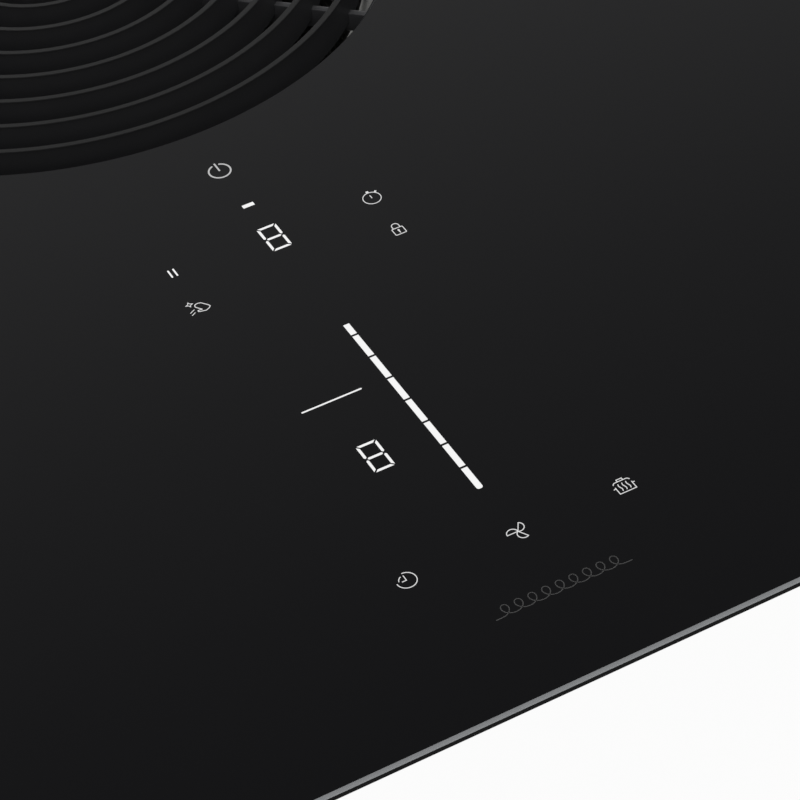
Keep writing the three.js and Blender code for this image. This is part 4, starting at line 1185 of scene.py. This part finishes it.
def soft_lamp(name, place, target, size, power):
    """A square softbox that mirrors don't see. Places and size in metres."""
    lamp = bpy.data.lights.new(name, "AREA")
    lamp.shape = "SQUARE"
    lamp.size = size
    lamp.energy = power
    holder = placed(name, lamp)
    holder.location = place
    holder.rotation_euler = (Vector(target) - Vector(place)).to_track_quat("-Z", "Y").to_euler()
    holder.visible_glossy = False


def place_camera():
    """A long lens above the front left corner, turned to the controls."""
    stage, step = settings("stage"), settings("marks").step
    data = bpy.data.cameras.new("camera")
    data.sensor_width = 36
    data.lens = stage.lens
    # The picture's middle lies 6.5 of its 800 pixels off the lens's axis.
    data.shift_y = -6.5 / 800
    data.clip_start = 0.01
    data.clip_end = 100
    azimuth, elevation = stage.azimuth, stage.elevation
    back = Vector((math.sin(azimuth) * math.cos(elevation), -math.cos(azimuth) * math.cos(elevation),
                   math.sin(elevation)))
    right = Vector((math.cos(azimuth), math.sin(azimuth), 0))
    turn = Matrix((right, back.cross(right), back)).transposed().to_4x4()
    # From the middle of the intake, in the slider's steps as the photograph gives them.
    spot = Vector((-23.232 * step, -76.742 * step, GLASS_HIGH.z + 52.062 * step)) * MM
    camera = placed("camera", data)
    camera.matrix_world = Matrix.Translation(spot) @ turn @ Matrix.Rotation(stage.roll, 4, "Z")
    bpy.context.scene.camera = camera


class COOKTOP_OT_stage(bpy.types.Operator):
    """Set up the floor, the studio light and the camera"""

    bl_idname = "cooktop.stage"
    bl_label = "Stage"

    def execute(self, context):
        bm = bmesh.new()
        level = Matrix.Translation((0, 0, -FLOOR_GAP * MM))
        bmesh.ops.create_grid(bm, x_segments=1, y_segments=1, size=6, matrix=level)
        mesh = bpy.data.meshes.new("floor")
        bm.to_mesh(mesh)
        bm.free()
        mesh.materials.append(material("white_paper", white_paper))
        placed("floor", mesh)
        studio_world()
        soft_lamp("top_box", (0.2, 0.6, 2.6), (0, 0, 0.2), 1.8, 34)
        soft_lamp("front_box", (-1.2, -2.2, 1.1), (0, 0, 0.15), 1.4, 14)
        place_camera()
        context.scene.view_settings.view_transform = "Standard"
        return {"FINISHED"}


# ---- Add-on ----


class CooktopSettings(bpy.types.PropertyGroup):
    glass: PointerProperty(type=GlassSettings)
    marks: PointerProperty(type=MarkSettings)
    grille: PointerProperty(type=GrilleSettings)
    under: PointerProperty(type=UnderSettings)
    stage: PointerProperty(type=StageSettings)


OPERATORS = (
    COOKTOP_OT_glass, COOKTOP_OT_marks, COOKTOP_OT_grille, COOKTOP_OT_filter, COOKTOP_OT_pan, COOKTOP_OT_fan_unit,
    COOKTOP_OT_electronics, COOKTOP_OT_stage,
)


class COOKTOP_PT_panel(bpy.types.Panel):
    """Lists the steps that build the cooktop, and its sizes and colours"""

    bl_idname = "COOKTOP_PT_panel"
    bl_label = "Cooktop"
    bl_space_type = "VIEW_3D"
    bl_region_type = "UI"
    bl_category = "Cooktop"

    def draw(self, context):
        for operator in OPERATORS:
            self.layout.operator(operator.bl_idname)
        for group_name in CooktopSettings.__annotations__:
            group = getattr(context.scene.cooktop, group_name)
            box = self.layout.box()
            for prop in sizes_and_colours(group):
                box.prop(group, prop.identifier)


CLASSES = (
    GlassSettings, MarkSettings, GrilleSettings, UnderSettings, StageSettings, CooktopSettings, *OPERATORS,
    COOKTOP_PT_panel,
)


def register():
    for cls in CLASSES:
        bpy.utils.register_class(cls)
    bpy.types.Scene.cooktop = PointerProperty(type=CooktopSettings)


def unregister():
    del bpy.types.Scene.cooktop
    for cls in reversed(CLASSES):
        bpy.utils.unregister_class(cls)


def main():
    register()
    for operator in OPERATORS:
        group, name = operator.bl_idname.split(".")
        getattr(getattr(bpy.ops, group), name)()


if __name__ == "__main__":
    main()
